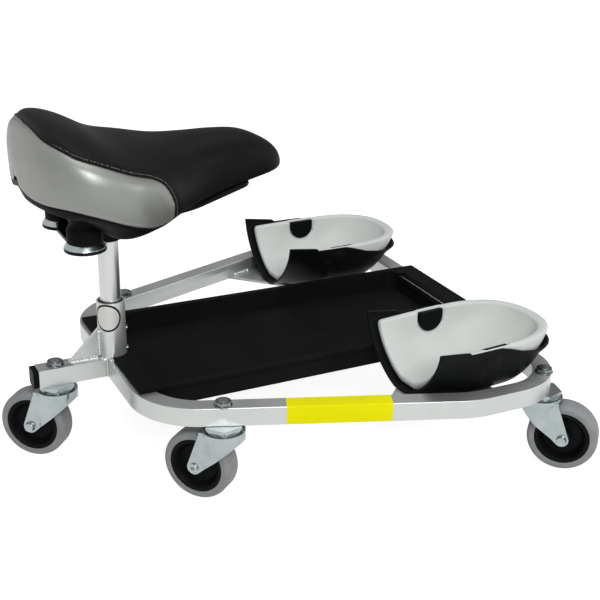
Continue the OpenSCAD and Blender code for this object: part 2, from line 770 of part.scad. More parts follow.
module at_rear() { at_caster(stem_rear_at, -rear_heading, 1) children(); }
module at_mid(side) { at_caster(mid_stem, side < 0 ? mid_right_heading : mid_left_heading, side) children(); }
module at_front(side) { at_caster(front_stem, front_heading, side) children(); }

module stem_rear() { at_rear() caster_stem(); }
module fork_rear() { at_rear() caster_fork(); }
module axle_rear() { at_rear() caster_axle(); }
module hub_rear() { at_rear() caster_hub(); }
module tyre_rear() { at_rear() caster_tyre(); }
module stem_mid_right() { at_mid(-1) caster_stem(); }
module fork_mid_right() { at_mid(-1) caster_fork(); }
module axle_mid_right() { at_mid(-1) caster_axle(); }
module hub_mid_right() { at_mid(-1) caster_hub(); }
module tyre_mid_right() { at_mid(-1) caster_tyre(); }
module stem_mid_left() { at_mid(1) caster_stem(); }
module fork_mid_left() { at_mid(1) caster_fork(); }
module axle_mid_left() { at_mid(1) caster_axle(); }
module hub_mid_left() { at_mid(1) caster_hub(); }
module tyre_mid_left() { at_mid(1) caster_tyre(); }
module stem_front_right() { at_front(-1) caster_stem(); }
module fork_front_right() { at_front(-1) caster_fork(); }
module axle_front_right() { at_front(-1) caster_axle(); }
module hub_front_right() { at_front(-1) caster_hub(); }
module tyre_front_right() { at_front(-1) caster_tyre(); }
module stem_front_left() { at_front(1) caster_stem(); }
module fork_front_left() { at_front(1) caster_fork(); }
module axle_front_left() { at_front(1) caster_axle(); }
module hub_front_left() { at_front(1) caster_hub(); }
module tyre_front_left() { at_front(1) caster_tyre(); }

// Seat post and the clamp head on its top
tilt_z = sleeve_top + tilt_rise;
tilt_bolt_d = 8;
head_r = 13.8;
head_h = 19;
head_web = 5;
head_tube_r = 7.4;
jaw_w = 10;
head_half = rail_y - jaw_w / 2 - gap;
rail_drop = 9.5;
head_top = tilt_z - rail_drop;
post_bottom = sleeve_top - post_hold;
module seat_post() {
    color(zinc) from_post() difference() {
        translate([0, 0, post_bottom]) cylinder(r = post_d / 2, h = head_top - fit - post_bottom);
        translate([0, 0, post_bottom - over]) cylinder(r = post_d / 2 - post_wall, h = head_top - post_bottom + over);
    }
}

module clamp_head() {
    color(black_plastic) from_post() difference() {
        union() {
            translate([0, 0, head_top - head_h]) cylinder(r = head_r, h = head_h);
            translate([0, 0, tilt_z]) rotate([90, 0, 0]) cylinder(r = head_tube_r, h = 2 * head_half, center = true);
            translate([-head_tube_r, -head_half, head_top - fit]) cube([2 * head_tube_r, 2 * head_half, rail_drop]);
        }
        translate([0, 0, head_top - head_h - over]) cylinder(r = post_d / 2 + fit, h = head_h + over);
        translate([0, 0, tilt_z]) rotate([90, 0, 0])
            cylinder(r = tilt_bolt_d / 2 + run_fit, h = 2 * head_half + 2 * over, center = true);
    }
}

// Jaws that grip the saddle rails beside the clamp head
jaw_r = 11;
jaw_foot_r = jaw_w / 2;
module clamp_jaws() {
    color(black_plastic) from_post() for (s = [-1, 1]) translate([0, s * rail_y, 0]) difference() {
        union() {
            translate([0, 0, tilt_z]) rotate([90, 0, 0]) cylinder(r = jaw_r, h = jaw_w, center = true);
            translate([0, 0, tilt_z - rail_drop]) rotate([0, 90, 0]) cylinder(r = jaw_foot_r, h = 2 * jaw_r, center = true);
            translate([-jaw_r, -jaw_w / 2, tilt_z - rail_drop]) cube([2 * jaw_r, jaw_w, rail_drop]);
        }
        translate([0, 0, tilt_z]) rotate([90, 0, 0]) cylinder(r = tilt_bolt_d / 2 + fit, h = 2 * jaw_w, center = true);
        translate([0, 0, tilt_z - rail_drop]) rotate([0, 90, 0])
            cylinder(r = rail_d / 2 + fit, h = 2 * jaw_r + 2 * over, center = true);
    }
}

bolt_head_h = 5;
module tilt_bolt() {
    l = 2 * (rail_y + jaw_w / 2);
    color(zinc) from_post() translate([0, 0, tilt_z]) rotate([90, 0, 0]) {
        cylinder(r = tilt_bolt_d / 2, h = l, center = true);
        translate([0, 0, l / 2]) hex(nut_af, bolt_head_h);
        translate([0, 0, -l / 2 - bolt_head_h]) hex(nut_af, bolt_head_h);
    }
}

// Cushion and pan share one table of stations from the rear to the nose:
// place along, half width, crown, lower edge and widest line, each as a share of the saddle's size
station_shares = [
    [0, 0.2, 0.682, 0.356, 0.582], [0.011, 0.41, 0.788, 0.322, 0.596], [0.039, 0.67, 0.928, 0.312, 0.591],
    [0.102, 0.9, 1, 0.303, 0.562], [0.191, 1, 0.928, 0.231, 0.514], [0.314, 0.98, 0.755, 0.096, 0.437],
    [0.42, 0.81, 0.716, 0.01, 0.38], [0.526, 0.6, 0.682, 0.048, 0.341], [0.633, 0.425, 0.687, 0.096, 0.36],
    [0.739, 0.335, 0.692, 0.159, 0.399], [0.845, 0.3, 0.663, 0.216, 0.418], [0.933, 0.25, 0.557, 0.255, 0.38],
    [0.979, 0.17, 0.452, 0.269, 0.322], [1, 0.05, 0.322, 0.269, 0.293]];
edge_z = tilt_z + edge_rise;
crown_power = 2.3;
skirt_share = 0.92;
lip_w = 8;
lip_share = 0.3;
recess = 14;
recess_from_share = 0.2;
recess_full_share = 0.5;
function station_x(t) = -saddle_back + saddle_l * smooth_at(station_shares, t, 0);
function station_w(t) = saddle_w / 2 * smooth_at(station_shares, t, 1);
function station_z(t, c) = edge_z + saddle_h * smooth_at(station_shares, t, c);
function station_recess(t) = recess * ease((station_w(t) / (saddle_w / 2) - recess_from_share)
    / (recess_full_share - recess_from_share));
function inner_w(t) = let (w = station_w(t)) w * skirt_share - min(lip_w, w * lip_share);

// Saddle rails: bent wire that rises from the yoke to the crossbar under the nose
yoke_t = 3.5;
yoke_drop = 12;
yoke_z = tilt_z - rail_drop - yoke_drop;
nose_station = 10;
nose_rise = 19;
nose_x = station_x(nose_station);
nose_z = tilt_z + nose_rise;
nose_rail_y = 20;
clip_w = 14;
rail_tail = 47;
rail_low_x = 25.3;
rail_up_x = 15.4;
rail_front_x = 22;
rail_knee_share = 0.6;
wire_round = 9;
wire_facets = 14;
wire_steps = 3;
crossbar_half = clip_w / 2 + 2 * gap;
rail_low_z = yoke_z + yoke_t + rail_d / 2;
wire = [[-rail_tail, rail_y, rail_low_z], [-rail_low_x, rail_y, rail_low_z],
    [-rail_up_x, rail_y, tilt_z - rail_drop], [rail_front_x, rail_y, tilt_z - rail_drop],
    [nose_x * rail_knee_share, rail_y, tilt_z], [nose_x, nose_rail_y, nose_z], [nose_x, crossbar_half, nose_z]];
// Corners rounded with short curves
wire_path = concat([wire[0]],
    [for (i = [1:len(wire) - 2]) let (p = wire[i], a = wire[i - 1] - p, b = wire[i + 1] - p,
            d = min(wire_round, norm(a) / 2 - fit, norm(b) / 2 - fit), q = p + a / norm(a) * d, t = p + b / norm(b) * d)
        for (k = [0:wire_steps]) let (f = k / wire_steps) (1 - f) * (1 - f) * q + 2 * f * (1 - f) * p + f * f * t],
    [wire[len(wire) - 1]]);
function unit(v) = v / norm(v);
function wire_ring(i) = let (n = len(wire_path) - 1,
        t = unit(wire_path[min(i + 1, n)] - wire_path[max(i - 1, 0)]), s = unit(cross(t, [0, 0, 1])), u = cross(s, t))
    [for (k = [0:wire_facets - 1]) let (a = 360 * k / wire_facets)
        wire_path[i] + rail_d / 2 * (cos(a) * s - sin(a) * u)];
module saddle_rails() {
    color(zinc) from_post() {
        for (s = [-1, 1]) on_side(s) loft([for (i = [0:len(wire_path) - 1]) wire_ring(i)]);
        translate([nose_x, 0, nose_z]) rotate([90, 0, 0])
            cylinder(r = rail_d / 2, h = 2 * crossbar_half + over, center = true);
    }
}

// Yoke plate that joins the rails' tails and carries the rubber springs in steel cups
cup_spread = 3.5;
spring_cup_h = 5;
yoke_w = 24;
spring_station = 4;
spring_x = -station_x(spring_station);
module spring_yoke() {
    color(black_plastic) from_post() translate([-spring_x, 0, yoke_z]) {
        translate([-yoke_w / 2, -spring_y, 0]) cube([yoke_w, 2 * spring_y, yoke_t]);
        for (s = [-1, 1]) translate([0, s * spring_y, 0]) cylinder(r = spring_d / 2 + cup_spread, h = yoke_t);
    }
}
module spring_cups() {
    color(zinc) from_post() for (s = [-1, 1]) translate([-spring_x, s * spring_y, yoke_z + yoke_t])
        cylinder(r1 = spring_d / 2 + cup_spread, r2 = spring_d / 2, h = spring_cup_h);
}

crown_steps = 16;
function cushion_ring(t) = let (x = station_x(t), w = station_w(t), top = station_z(t, 2), b = station_z(t, 3),
        m = station_z(t, 4), yi = inner_w(t), r = station_recess(t), e = 2 / crown_power)
    concat(
        [for (i = [0:crown_steps]) let (a = 180 * i / crown_steps)
            [x, w * sign(cos(a)) * pow(abs(cos(a)), e), m + (top - m) * pow(sin(a), e)]],
        [for (s = [-1, 1]) each let (side = [[x, s * w * (1 + skirt_share) / 2, (m + b) / 2],
                [x, s * w * skirt_share, b], [x, s * yi, b], [x, s * yi * skirt_share, b + r]])
            s < 0 ? side : [for (i = [3:-1:0]) side[i]]]);
cushion_steps = 2;
module saddle_cushion() {
    n = (len(station_shares) - 1) * cushion_steps;
    color(vinyl_black) from_post() loft([for (i = [0:n]) cushion_ring(i / cushion_steps)]);
}

// Base pan: a plate inside the cushion's skirt whose side walls hang down round the clamp
belly_depth = 27;
belly_y = 50;
belly_x = 15;
belly_back = 75;
belly_front = 42;
function belly(x) = x < belly_x ? ease((x + belly_back) / (belly_back + belly_x))
    : ease((belly_x + belly_front - x) / belly_front);
pan_rows = [2, 24];
// Half of a section: plate corner, rim and the lower edge of the side wall
function pan_half(t, inset) = let (x = station_x(t), b = station_z(t, 3), r = station_recess(t), yi = inner_w(t) - gap,
        d = belly(x), yb = yi + (min(belly_y, yi) - yi) * d)
    [[x, yi * skirt_share - inset, b + r - gap - inset], [x, yi - inset, b - inset / 2],
        [x, yb - inset, b - pan_t - belly_depth * d]];
function pan_ring(t) = let (o = pan_half(t, 0), i = pan_half(t, pan_t))
    concat([for (k = [2:-1:0]) o[k]], [for (k = [0:2]) [o[k][0], -o[k][1], o[k][2]]],
        [for (k = [2:-1:0]) [i[k][0], -i[k][1], i[k][2]]], [for (k = [0:2]) i[k]]);
// Flat round seats under the sloping plate, level with the lowest part of it that lies over a spring
seat_rim = 2;
seat_r = spring_d / 2 + seat_rim;
seat_station = spring_station + seat_r / (station_x(spring_station + 1) - station_x(spring_station));
seat_z = station_z(seat_station, 3) + station_recess(seat_station) - gap - pan_t;
seat_rows = [6, 10];
// Ring whose top runs inside the plate, to cut the seats off there
function seat_ring(t) = let (x = station_x(t), z = station_z(t, 3) + station_recess(t) - gap - pan_t / 2,
        y = inner_w(t) * skirt_share - pan_t)
    [[x, y, z], [x, -y, z], [x, -y, z - 2 * recess], [x, y, z - 2 * recess]];
module saddle_pan() {
    color(black_plastic) from_post() {
        loft([for (i = [pan_rows[0]:pan_rows[1]]) pan_ring(i / cushion_steps)]);
        for (s = [-1, 1]) intersection() {
            loft([for (i = [seat_rows[0]:seat_rows[1]]) seat_ring(i / cushion_steps)]);
            translate([-spring_x, s * spring_y, seat_z]) cylinder(r = seat_r, h = 2 * recess);
        }
    }
}

// Rubber springs between the cups and the pan, as shares of their height up each one
spring_waist = 3;
spring_shares = [0.3, 0.42, 0.5, 0.62, 0.85];
module rubber_springs() {
    z0 = yoke_z + yoke_t + spring_cup_h;
    h = seat_z - gap - z0;
    r = spring_d / 2;
    color(rubber_black) from_post() for (s = [-1, 1]) translate([-spring_x, s * spring_y, z0]) rotate_extrude()
        polygon([[0, 0], [r, 0], [r, h * spring_shares[0]], [r - spring_waist, h * spring_shares[1]],
            [r - spring_waist, h * spring_shares[2]], [r, h * spring_shares[3]], [r, h * spring_shares[4]],
            [r - spring_waist, h], [0, h]]);
}

// Clip under the nose that the rails' crossbar turns in
clip_l = 14;
module nose_clip() {
    t = nose_station - clip_l / 2 / (station_x(nose_station) - station_x(nose_station - 1));
    top = station_z(t, 3) + station_recess(t) - pan_t - 2 * gap;
    color(black_plastic) from_post() difference() {
        translate([nose_x - clip_l / 2, -clip_w / 2, nose_z - clip_l / 2])
            cube([clip_l, clip_w, top - nose_z + clip_l / 2]);
        translate([nose_x, 0, nose_z]) rotate([90, 0, 0])
            cylinder(r = rail_d / 2 + run_fit, h = clip_w + 2 * over, center = true);
    }
}

side_rail_right();
side_rail_left();
post_sleeve();
sleeve_bush();
rear_stub();
stub_end_cap();
gusset();
set_screws();
cup_bracket_right();
cup_bracket_left();
tool_tray();
cup_shell_right();
cup_shell_left();
cup_liner_right();
cup_liner_left();
cup_buttons_right();
cup_buttons_left();
cup_bolts();
stem_nuts();
stem_washers();
seat_post();
clamp_head();
clamp_jaws();
tilt_bolt();
saddle_rails();
spring_yoke();
spring_cups();
rubber_springs();
nose_clip();
saddle_pan();
saddle_cushion();
stem_rear();
fork_rear();
axle_rear();
hub_rear();
tyre_rear();
stem_mid_right();
fork_mid_right();
axle_mid_right();
hub_mid_right();
tyre_mid_right();
stem_mid_left();
fork_mid_left();
axle_mid_left();
hub_mid_left();
tyre_mid_left();
stem_front_right();
fork_front_right();
axle_front_right();
hub_front_right();
tyre_front_right();
stem_front_left();
fork_front_left();
axle_front_left();
hub_front_left();
tyre_front_left();
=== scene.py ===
"""Looks of a kneeling creeper seat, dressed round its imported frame. Metres, front is +X.

Sizes written in millimetres are measured from the seat post's axis and the floor.
"""

from bisect import bisect_left
from math import cos, exp, hypot, pi, radians, sin, sqrt, tan

import bmesh
import bpy
from mathutils import Matrix, Vector, kdtree, noise


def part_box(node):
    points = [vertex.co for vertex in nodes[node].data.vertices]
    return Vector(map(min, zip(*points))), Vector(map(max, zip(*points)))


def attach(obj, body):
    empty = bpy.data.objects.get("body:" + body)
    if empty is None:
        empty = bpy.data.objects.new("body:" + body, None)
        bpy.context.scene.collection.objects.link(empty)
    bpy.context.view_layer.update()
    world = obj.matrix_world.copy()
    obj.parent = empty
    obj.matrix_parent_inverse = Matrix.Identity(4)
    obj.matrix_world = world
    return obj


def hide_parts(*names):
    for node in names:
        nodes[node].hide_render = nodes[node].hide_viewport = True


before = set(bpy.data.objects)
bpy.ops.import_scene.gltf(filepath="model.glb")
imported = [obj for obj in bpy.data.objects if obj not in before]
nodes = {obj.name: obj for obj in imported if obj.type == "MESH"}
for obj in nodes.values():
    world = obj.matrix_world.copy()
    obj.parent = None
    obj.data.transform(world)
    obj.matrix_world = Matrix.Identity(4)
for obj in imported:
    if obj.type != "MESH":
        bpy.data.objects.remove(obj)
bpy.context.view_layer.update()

MM = 0.001
SIDES = {"right": -1, "left": 1}
AREAS = ("rear", "mid_right", "mid_left", "front_right", "front_left")


# Places -------------------------------------------------------------------------------------

def middle(node):
    """Middle of a CAD node's box, in metres."""
    low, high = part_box(node)
    return (Vector(low) + Vector(high)) / 2


POST = Vector((middle("seat_post").x, 0, 0))
FLOOR_TO_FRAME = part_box("side_rail_left")[0][2] / MM
TUBE = (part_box("side_rail_left")[1][2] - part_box("side_rail_left")[0][2]) / MM
FRAME_TOP = FLOOR_TO_FRAME + TUBE
SLEEVE_R = (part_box("post_sleeve")[1][1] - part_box("post_sleeve")[0][1]) / MM / 2
SLEEVE_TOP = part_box("post_sleeve")[1][2] / MM


def at_post(x, y, z):
    """Point given in millimetres from the post's axis and the floor."""
    return POST + Vector((x, y, z)) * MM


def ease(t):
    """Smooth step from 0 to 1."""
    t = min(max(t, 0), 1)
    return t * t * (3 - 2 * t)


def smooth(table, t):
    """Value of a list of numbers at a smooth place between its entries."""
    last = len(table) - 1
    i = min(int(t), last - 1)
    f = t - i
    a, b, c, d = table[max(i - 1, 0)], table[i], table[i + 1], table[min(i + 2, last)]
    return b + f * ((c - a) / 2 + f * (a - 2.5 * b + 2 * c - d / 2 + f * (1.5 * (b - c) + (d - a) / 2)))


# Nodes and materials --------------------------------------------------------------------------

def linear(hex_colour):
    """sRGB hex to the linear values that a socket takes."""
    parts = [int(hex_colour[i:i + 2], 16) / 255 for i in (1, 3, 5)]
    return [p / 12.92 if p <= 0.04045 else ((p + 0.055) / 1.055) ** 2.4 for p in parts] + [1]


def add(tree, kind, inputs=None, **settings):
    """Adds a node, with its settings, its values and its links."""
    node = tree.nodes.new("ShaderNode" + kind)
    for key, value in settings.items():
        setattr(node, key, value)
    for key, value in (inputs or {}).items():
        if isinstance(value, bpy.types.NodeSocket):
            tree.links.new(value, node.inputs[key])
        else:
            node.inputs[key].default_value = value
    return node


def finish(name, colour, **values):
    """New material with its even values on the shader's own sockets."""
    made = bpy.data.materials.new(name)
    made.use_nodes = True
    shader = made.node_tree.nodes["Principled BSDF"]
    shader.inputs["Base Color"].default_value = linear(colour)
    for key, value in values.items():
        shader.inputs[key.replace("_", " ")].default_value = value
    return made, made.node_tree, shader


def surface(tree, shader, grain, depth, gloss, colours, patch=35 * MM):
    """Surface of a finish: a fine grain as relief, and wide patches of gloss and shade.

    Returns its coordinates and its relief, for a second relief on top.
    """
    place = add(tree, "TexCoord").outputs["Object"]
    fine = add(tree, "TexNoise", {"Vector": place, "Scale": 1 / grain, "Detail": 3.0})
    wide = add(tree, "TexNoise", {"Vector": place, "Scale": 1 / patch, "Detail": 2.0})
    spread = {"Value": wide.outputs["Fac"], "From Min": 0.3, "From Max": 0.7}
    rough = add(tree, "MapRange", {**spread, "To Min": gloss[0], "To Max": gloss[1]})
    shade = add(tree, "MapRange", spread)
    tint = add(tree, "Mix", {"Factor": shade.outputs["Result"], "A": linear(colours[0]),
                             "B": linear(colours[1])}, data_type="RGBA")
    relief = add(tree, "Bump", {"Height": fine.outputs["Fac"], "Distance": depth, "Strength": 1.0})
    tree.links.new(rough.outputs["Result"], shader.inputs["Roughness"])
    tree.links.new(tint.outputs["Result"], shader.inputs["Base Color"])
    tree.links.new(relief.outputs["Normal"], shader.inputs["Normal"])
    return place, relief


def powder_coat():
    """Silver polyester powder coat on tube: satin, with a faint orange peel."""
    made, tree, shader = finish("powder_coat_silver", "#b4b7b5", Metallic=0.8)
    surface(tree, shader, 1.6 * MM, 0.03 * MM, (0.33, 0.38), ("#b6b9b7", "#bcbfbc"))
    return made


def plated(name, dark, light, gloss):
    """Zinc plate on steel: bluish, with soft cloudy patches from the bath."""
    made, tree, shader = finish(name, light, Metallic=1.0)
    surface(tree, shader, 2.2 * MM, 0.02 * MM, gloss, (dark, light), 14 * MM)
    return made


def satin_chrome():
    """Satin chrome on the seat post: ground round, so it is drawn out across its length."""
    made, tree, shader = finish("chrome_satin_ground", "#c3c5c4", Metallic=1.0, Anisotropic=0.4)
    place, relief = surface(tree, shader, 3 * MM, 0.01 * MM, (0.30, 0.36), ("#bcbebd", "#c6c8c7"))
    rings = add(tree, "Mapping", {"Vector": place, "Scale": (40.0, 40.0, 2500.0)})
    lines = add(tree, "TexNoise", {"Vector": rings.outputs["Vector"], "Scale": 1.0, "Detail": 2.0})
    ground = add(tree, "Bump", {"Height": lines.outputs["Fac"], "Distance": 0.01 * MM,
                                "Strength": 0.5, "Normal": relief.outputs["Normal"]})
    tree.links.new(ground.outputs["Normal"], shader.inputs["Normal"])
    return made


def moulded(name, colour, light, gloss, grain, depth, **values):
    """Moulded plastic, whose grain comes from the mould: leathery on a tray, fine on a shell."""
    made, tree, shader = finish(name, colour, **values)
    surface(tree, shader, grain, depth, gloss, (colour, light), 60 * MM)
    return made


def grey_tread():
    """Grey thermoplastic rubber tyre: matt, a little paler where it has rolled."""
    made, tree, shader = finish("tyre_rubber_grey", "#77797b")
    surface(tree, shader, 0.9 * MM, 0.06 * MM, (0.55, 0.70), ("#6f7173", "#7f8182"), 14 * MM)
    return made


def eva_foam():
    """Closed-cell EVA foam, skived and thermoformed: pale, dead matt and finely pitted."""
    made, tree, shader = finish("foam_eva_pale_grey", "#bcc0bd")
    place, relief = surface(tree, shader, 1.1 * MM, 0.05 * MM, (0.55, 0.62), ("#b9bdba", "#c0c4c1"),
                            50 * MM)
    cells = add(tree, "TexVoronoi", {"Vector": place, "Scale": 1 / (1.3 * MM)})
    pits = add(tree, "Bump", {"Height": cells.outputs["Distance"], "Distance": 0.06 * MM,
                              "Strength": 0.5, "Normal": relief.outputs["Normal"]})
    tree.links.new(pits.outputs["Normal"], shader.inputs["Normal"])
    return made


def vinyl_cover():
    """Two-colour upholstery vinyl: black top and pearl silver sides, divided at the sewn seam.

    The attribute "seam" holds the distance from the seam, above zero on the silver side.
    """
    made, tree, shader = finish("vinyl_black_and_silver", "#1b1b1b", Roughness=0.42)
    place = add(tree, "TexCoord").outputs["Object"]
    seam = add(tree, "Attribute", attribute_name="seam").outputs["Fac"]
    silver = add(tree, "MapRange", {"Value": seam, "From Min": -0.2 * MM,
                                    "From Max": 0.2 * MM}).outputs["Result"]
    wide = add(tree, "TexNoise", {"Vector": place, "Scale": 1 / (45 * MM), "Detail": 2.0}).outputs["Fac"]
    black = add(tree, "Mix", {"Factor": wide, "A": linear("#0b0b0b"), "B": linear("#121212")},
                data_type="RGBA").outputs["Result"]
    pearl = add(tree, "Mix", {"Factor": wide, "A": linear("#7d7f7b"), "B": linear("#8a8c88")},
                data_type="RGBA").outputs["Result"]
    colour = add(tree, "Mix", {"Factor": silver, "A": black, "B": pearl}, data_type="RGBA")
    metal = add(tree, "MapRange", {"Value": silver, "To Min": 0.0, "To Max": 0.7})
    shine = add(tree, "MapRange", {"Value": silver, "To Min": 0.06, "To Max": 0.5})
    tree.links.new(shine.outputs["Result"], shader.inputs["Specular IOR Level"])
    # Pebble grain of the embossing roller, coarser than the real 0.8 mm so that it shows
    pebble = add(tree, "TexVoronoi", {"Vector": place, "Scale": 1 / (1.6 * MM)}, feature="SMOOTH_F1")
    relief = add(tree, "Bump", {"Height": pebble.outputs["Distance"], "Distance": 0.09 * MM, "Strength": 0.6})
    tree.links.new(colour.outputs["Result"], shader.inputs["Base Color"])
    tree.links.new(metal.outputs["Result"], shader.inputs["Metallic"])
    tree.links.new(relief.outputs["Normal"], shader.inputs["Normal"])
    return made


SILVER_PAINT = powder_coat()
ZINC = plated("zinc_plate_bright", "#969fa0", "#a5abac", (0.20, 0.26))
# Zinc plate painted darker on the nuts, bolts, set screws and washers: a painted dark reflection of their
# surroundings
ZINC_PAINTED_DARK_REFLECTION = plated("zinc_plate_painted_dark_reflection_on_nuts", "#6d7273", "#7b8081", (0.16, 0.20))
CHROME = satin_chrome()
DULL = {"Specular_IOR_Level": 0.05}
TRAY_ABS = moulded("abs_black_tray", "#0b0c0d", "#121314", (0.60, 0.70), 1.4 * MM, 0.12 * MM,
                   Specular_IOR_Level=0.04)
SHELL_PP = moulded("polypropylene_black_shell", "#090a0b", "#0e0f10", (0.34, 0.42), 1.0 * MM, 0.04 * MM,
                   **DULL)
NYLON = moulded("nylon_black", "#070808", "#0b0c0c", (0.45, 0.55), 0.9 * MM, 0.04 * MM, **DULL)
HUB_PP = moulded("polypropylene_black_hub", "#08090a", "#0e0f10", (0.42, 0.52), 1.1 * MM, 0.04 * MM, **DULL)
BLACK_PAINT = moulded("electrocoat_black_steel", "#0d0e10", "#161719", (0.30, 0.40), 1.2 * MM, 0.03 * MM,
                      **DULL)
RUBBER = moulded("rubber_black_spring", "#080808", "#0d0d0d", (0.55, 0.65), 1.0 * MM, 0.08 * MM, **DULL)
THREAD = moulded("polyester_thread_grey", "#8c8c88", "#a2a29d", (0.60, 0.75), 0.4 * MM, 0.05 * MM)
WELT = moulded("vinyl_black_piping", "#0d0d0d", "#151515", (0.34, 0.44), 1.0 * MM, 0.04 * MM, **DULL)
TAPE = moulded("pvc_tape_yellow", "#dbd708", "#d5d006", (0.60, 0.70), 1.3 * MM, 0.02 * MM, **DULL)
FOIL = moulded("foil_disc_silver", "#b9bab6", "#c6c7c3", (0.32, 0.42), 1.5 * MM, 0.02 * MM, Metallic=0.3)
# The frame's powder coat on the weld beads, painted paler than on the tubes: a painted highlight
BEAD_PAINTED_HIGHLIGHT = moulded("powder_coat_silver_painted_highlight_on_weld", "#bfc2c0", "#c9cbc9", (0.26, 0.32), 1.2 * MM, 0.03 * MM,
               Metallic=0.6)
TYRE = grey_tread()
FOAM = eva_foam()
VINYL = vinyl_cover()


# Making pieces --------------------------------------------------------------------------------

def piece(name, bm, body, slot, material, *stands_for, turned=False):
    """Turns a bmesh into a shown piece that rides on a body.

    Its faces are turned outwards, unless they are said to be turned already.
    """
    if not turned:
        bmesh.ops.remove_doubles(bm, verts=bm.verts, dist=0.01 * MM)
        bmesh.ops.recalc_face_normals(bm, faces=bm.faces)
    mesh = bpy.data.meshes.new(name)
    bm.to_mesh(mesh)
    bm.free()
    mesh.materials.append(material)
    mesh.shade_smooth()
    made = bpy.data.objects.new(name, mesh)
    bpy.context.scene.collection.objects.link(made)
    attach(made, body)
    if stands_for:
        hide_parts(*stands_for)
    return made


def modify(obj, kind, **settings):
    """Adds a modifier with its settings."""
    made = obj.modifiers.new(kind.lower(), kind)
    for key, value in settings.items():
        setattr(made, key, value)
    return made


def rounded(obj, width, segments=3, angle=32):
    """Rounds the edges that are sharper than an angle."""
    modify(obj, "BEVEL", width=width, segments=segments, limit_method="ANGLE", angle_limit=radians(angle),
           harden_normals=True)


def edges_between(ring):
    """Edges that join the vertices of a ring or a row to each other."""
    held = set(ring)
    return list({e for v in ring for e in v.link_edges if e.other_vert(v) in held})


def first_ring(bm, places):
    """Closed ring of vertices at given places."""
    ring = bmesh.ops.create_circle(bm, segments=len(places), radius=MM)["verts"]
    for v, place in zip(ring, places):
        v.co = place
    return ring


def first_row(bm, places):
    """Open row of vertices at given places."""
    row = bmesh.ops.create_vert(bm, co=places[0])["vert"]
    for place in places[1:]:
        made = bmesh.ops.extrude_vert_indiv(bm, verts=[row[-1]])["verts"][0]
        made.co = place
        row.append(made)
    return row


def grow(bm, ring, places):
    """Extrudes a ring or row of edges and moves the new one to its places."""
    made = bmesh.ops.extrude_edge_only(bm, edges=edges_between(ring))["geom"]
    new = {v for v in made if isinstance(v, bmesh.types.BMVert)}
    after = [next(e.other_vert(v) for e in v.link_edges if e.other_vert(v) in new) for v in ring]
    for v, place in zip(after, places):
        v.co = place
    return after


def loft(bm, rings, capped=True):
    """Closed skin through rings of equal length. Returns its rows of vertices."""
    rows = [first_ring(bm, rings[0])]
    for places in rings[1:]:
        rows.append(grow(bm, rows[-1], places))
    if capped:
        for end in (rows[0], rows[-1]):
            bmesh.ops.contextual_create(bm, geom=edges_between(end))
    return rows


def sheet(bm, rows_of_places):
    """Open skin through rows of equal length. Returns its rows of vertices."""
    rows = [first_row(bm, rows_of_places[0])]
    for places in rows_of_places[1:]:
        rows.append(grow(bm, rows[-1], places))
    return rows


def tube(bm, path, radius, sides=10, flat=1.0):
    """Round skin along a path. The radius is a number or a function of the point's place in the path."""
    rings = []
    for i, point in enumerate(path):
        along = (path[min(i + 1, len(path) - 1)] - path[max(i - 1, 0)]).normalized()
        across = along.cross(Vector((0, 0, 1)))
        across = (across if across.length > 0.01 else along.cross(Vector((1, 0, 0)))).normalized()
        up = across.cross(along)
        r = radius(i) if callable(radius) else radius
        rings.append([point + r * (cos(2 * pi * k / sides) * across + flat * sin(2 * pi * k / sides) * up)
                      for k in range(sides)])
    loft(bm, rings)


# Saddle ---------------------------------------------------------------------------------------

saddle_low, saddle_high = (Vector(c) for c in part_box("saddle_cushion"))
SADDLE_L = (saddle_high.x - saddle_low.x) / MM
SADDLE_W = (saddle_high.y - saddle_low.y) / MM
SADDLE_BACK = (POST.x - saddle_low.x) / MM
SADDLE_TOP = saddle_high.z / MM
SADDLE_H = 103
EDGE_Z = SADDLE_TOP - SADDLE_H
# Stations from the rear to the nose: place along, half width, crown, lower edge and widest line,
# each as a share of the saddle's length, half width or height
STATIONS = (
    (0, 0.2, 0.682, 0.356, 0.582), (0.011, 0.41, 0.788, 0.322, 0.596), (0.039, 0.67, 0.928, 0.312, 0.591),
    (0.102, 0.9, 1, 0.303, 0.562), (0.191, 1, 0.928, 0.231, 0.514), (0.314, 0.98, 0.755, 0.096, 0.437),
    (0.42, 0.81, 0.716, 0.01, 0.38), (0.526, 0.6, 0.682, 0.048, 0.341), (0.633, 0.425, 0.687, 0.096, 0.36),
    (0.739, 0.335, 0.692, 0.159, 0.399), (0.845, 0.3, 0.663, 0.216, 0.418), (0.933, 0.25, 0.557, 0.255, 0.38),
    (0.979, 0.17, 0.452, 0.269, 0.322), (1, 0.05, 0.322, 0.269, 0.293))
COLUMNS = tuple(zip(*STATIONS))
CROWN_POWER = 2.3
SKIRT_TUCK = 0.08
EDGE_ROUND = 4
PAN_INSET = 8


def station(t):
    """Place along, half width, crown, lower edge and widest line at a station, in millimetres."""
    x, w, top, low, wide = (smooth(c, t) for c in COLUMNS)
    return (-SADDLE_BACK + SADDLE_L * x, SADDLE_W / 2 * w, *(EDGE_Z + SADDLE_H * s for s in (top, low, wide)))


def station_of(x):
    """Station whose place along the saddle is x."""
    low, high = 0.0, len(STATIONS) - 1.0
    while high - low > 0.001:
        t = (low + high) / 2
        low, high = (t, high) if station(t)[0] < x else (low, t)
    return low


CROWN_STEPS = 40
SKIRT_STEPS = 12
LIP_STEPS = 4


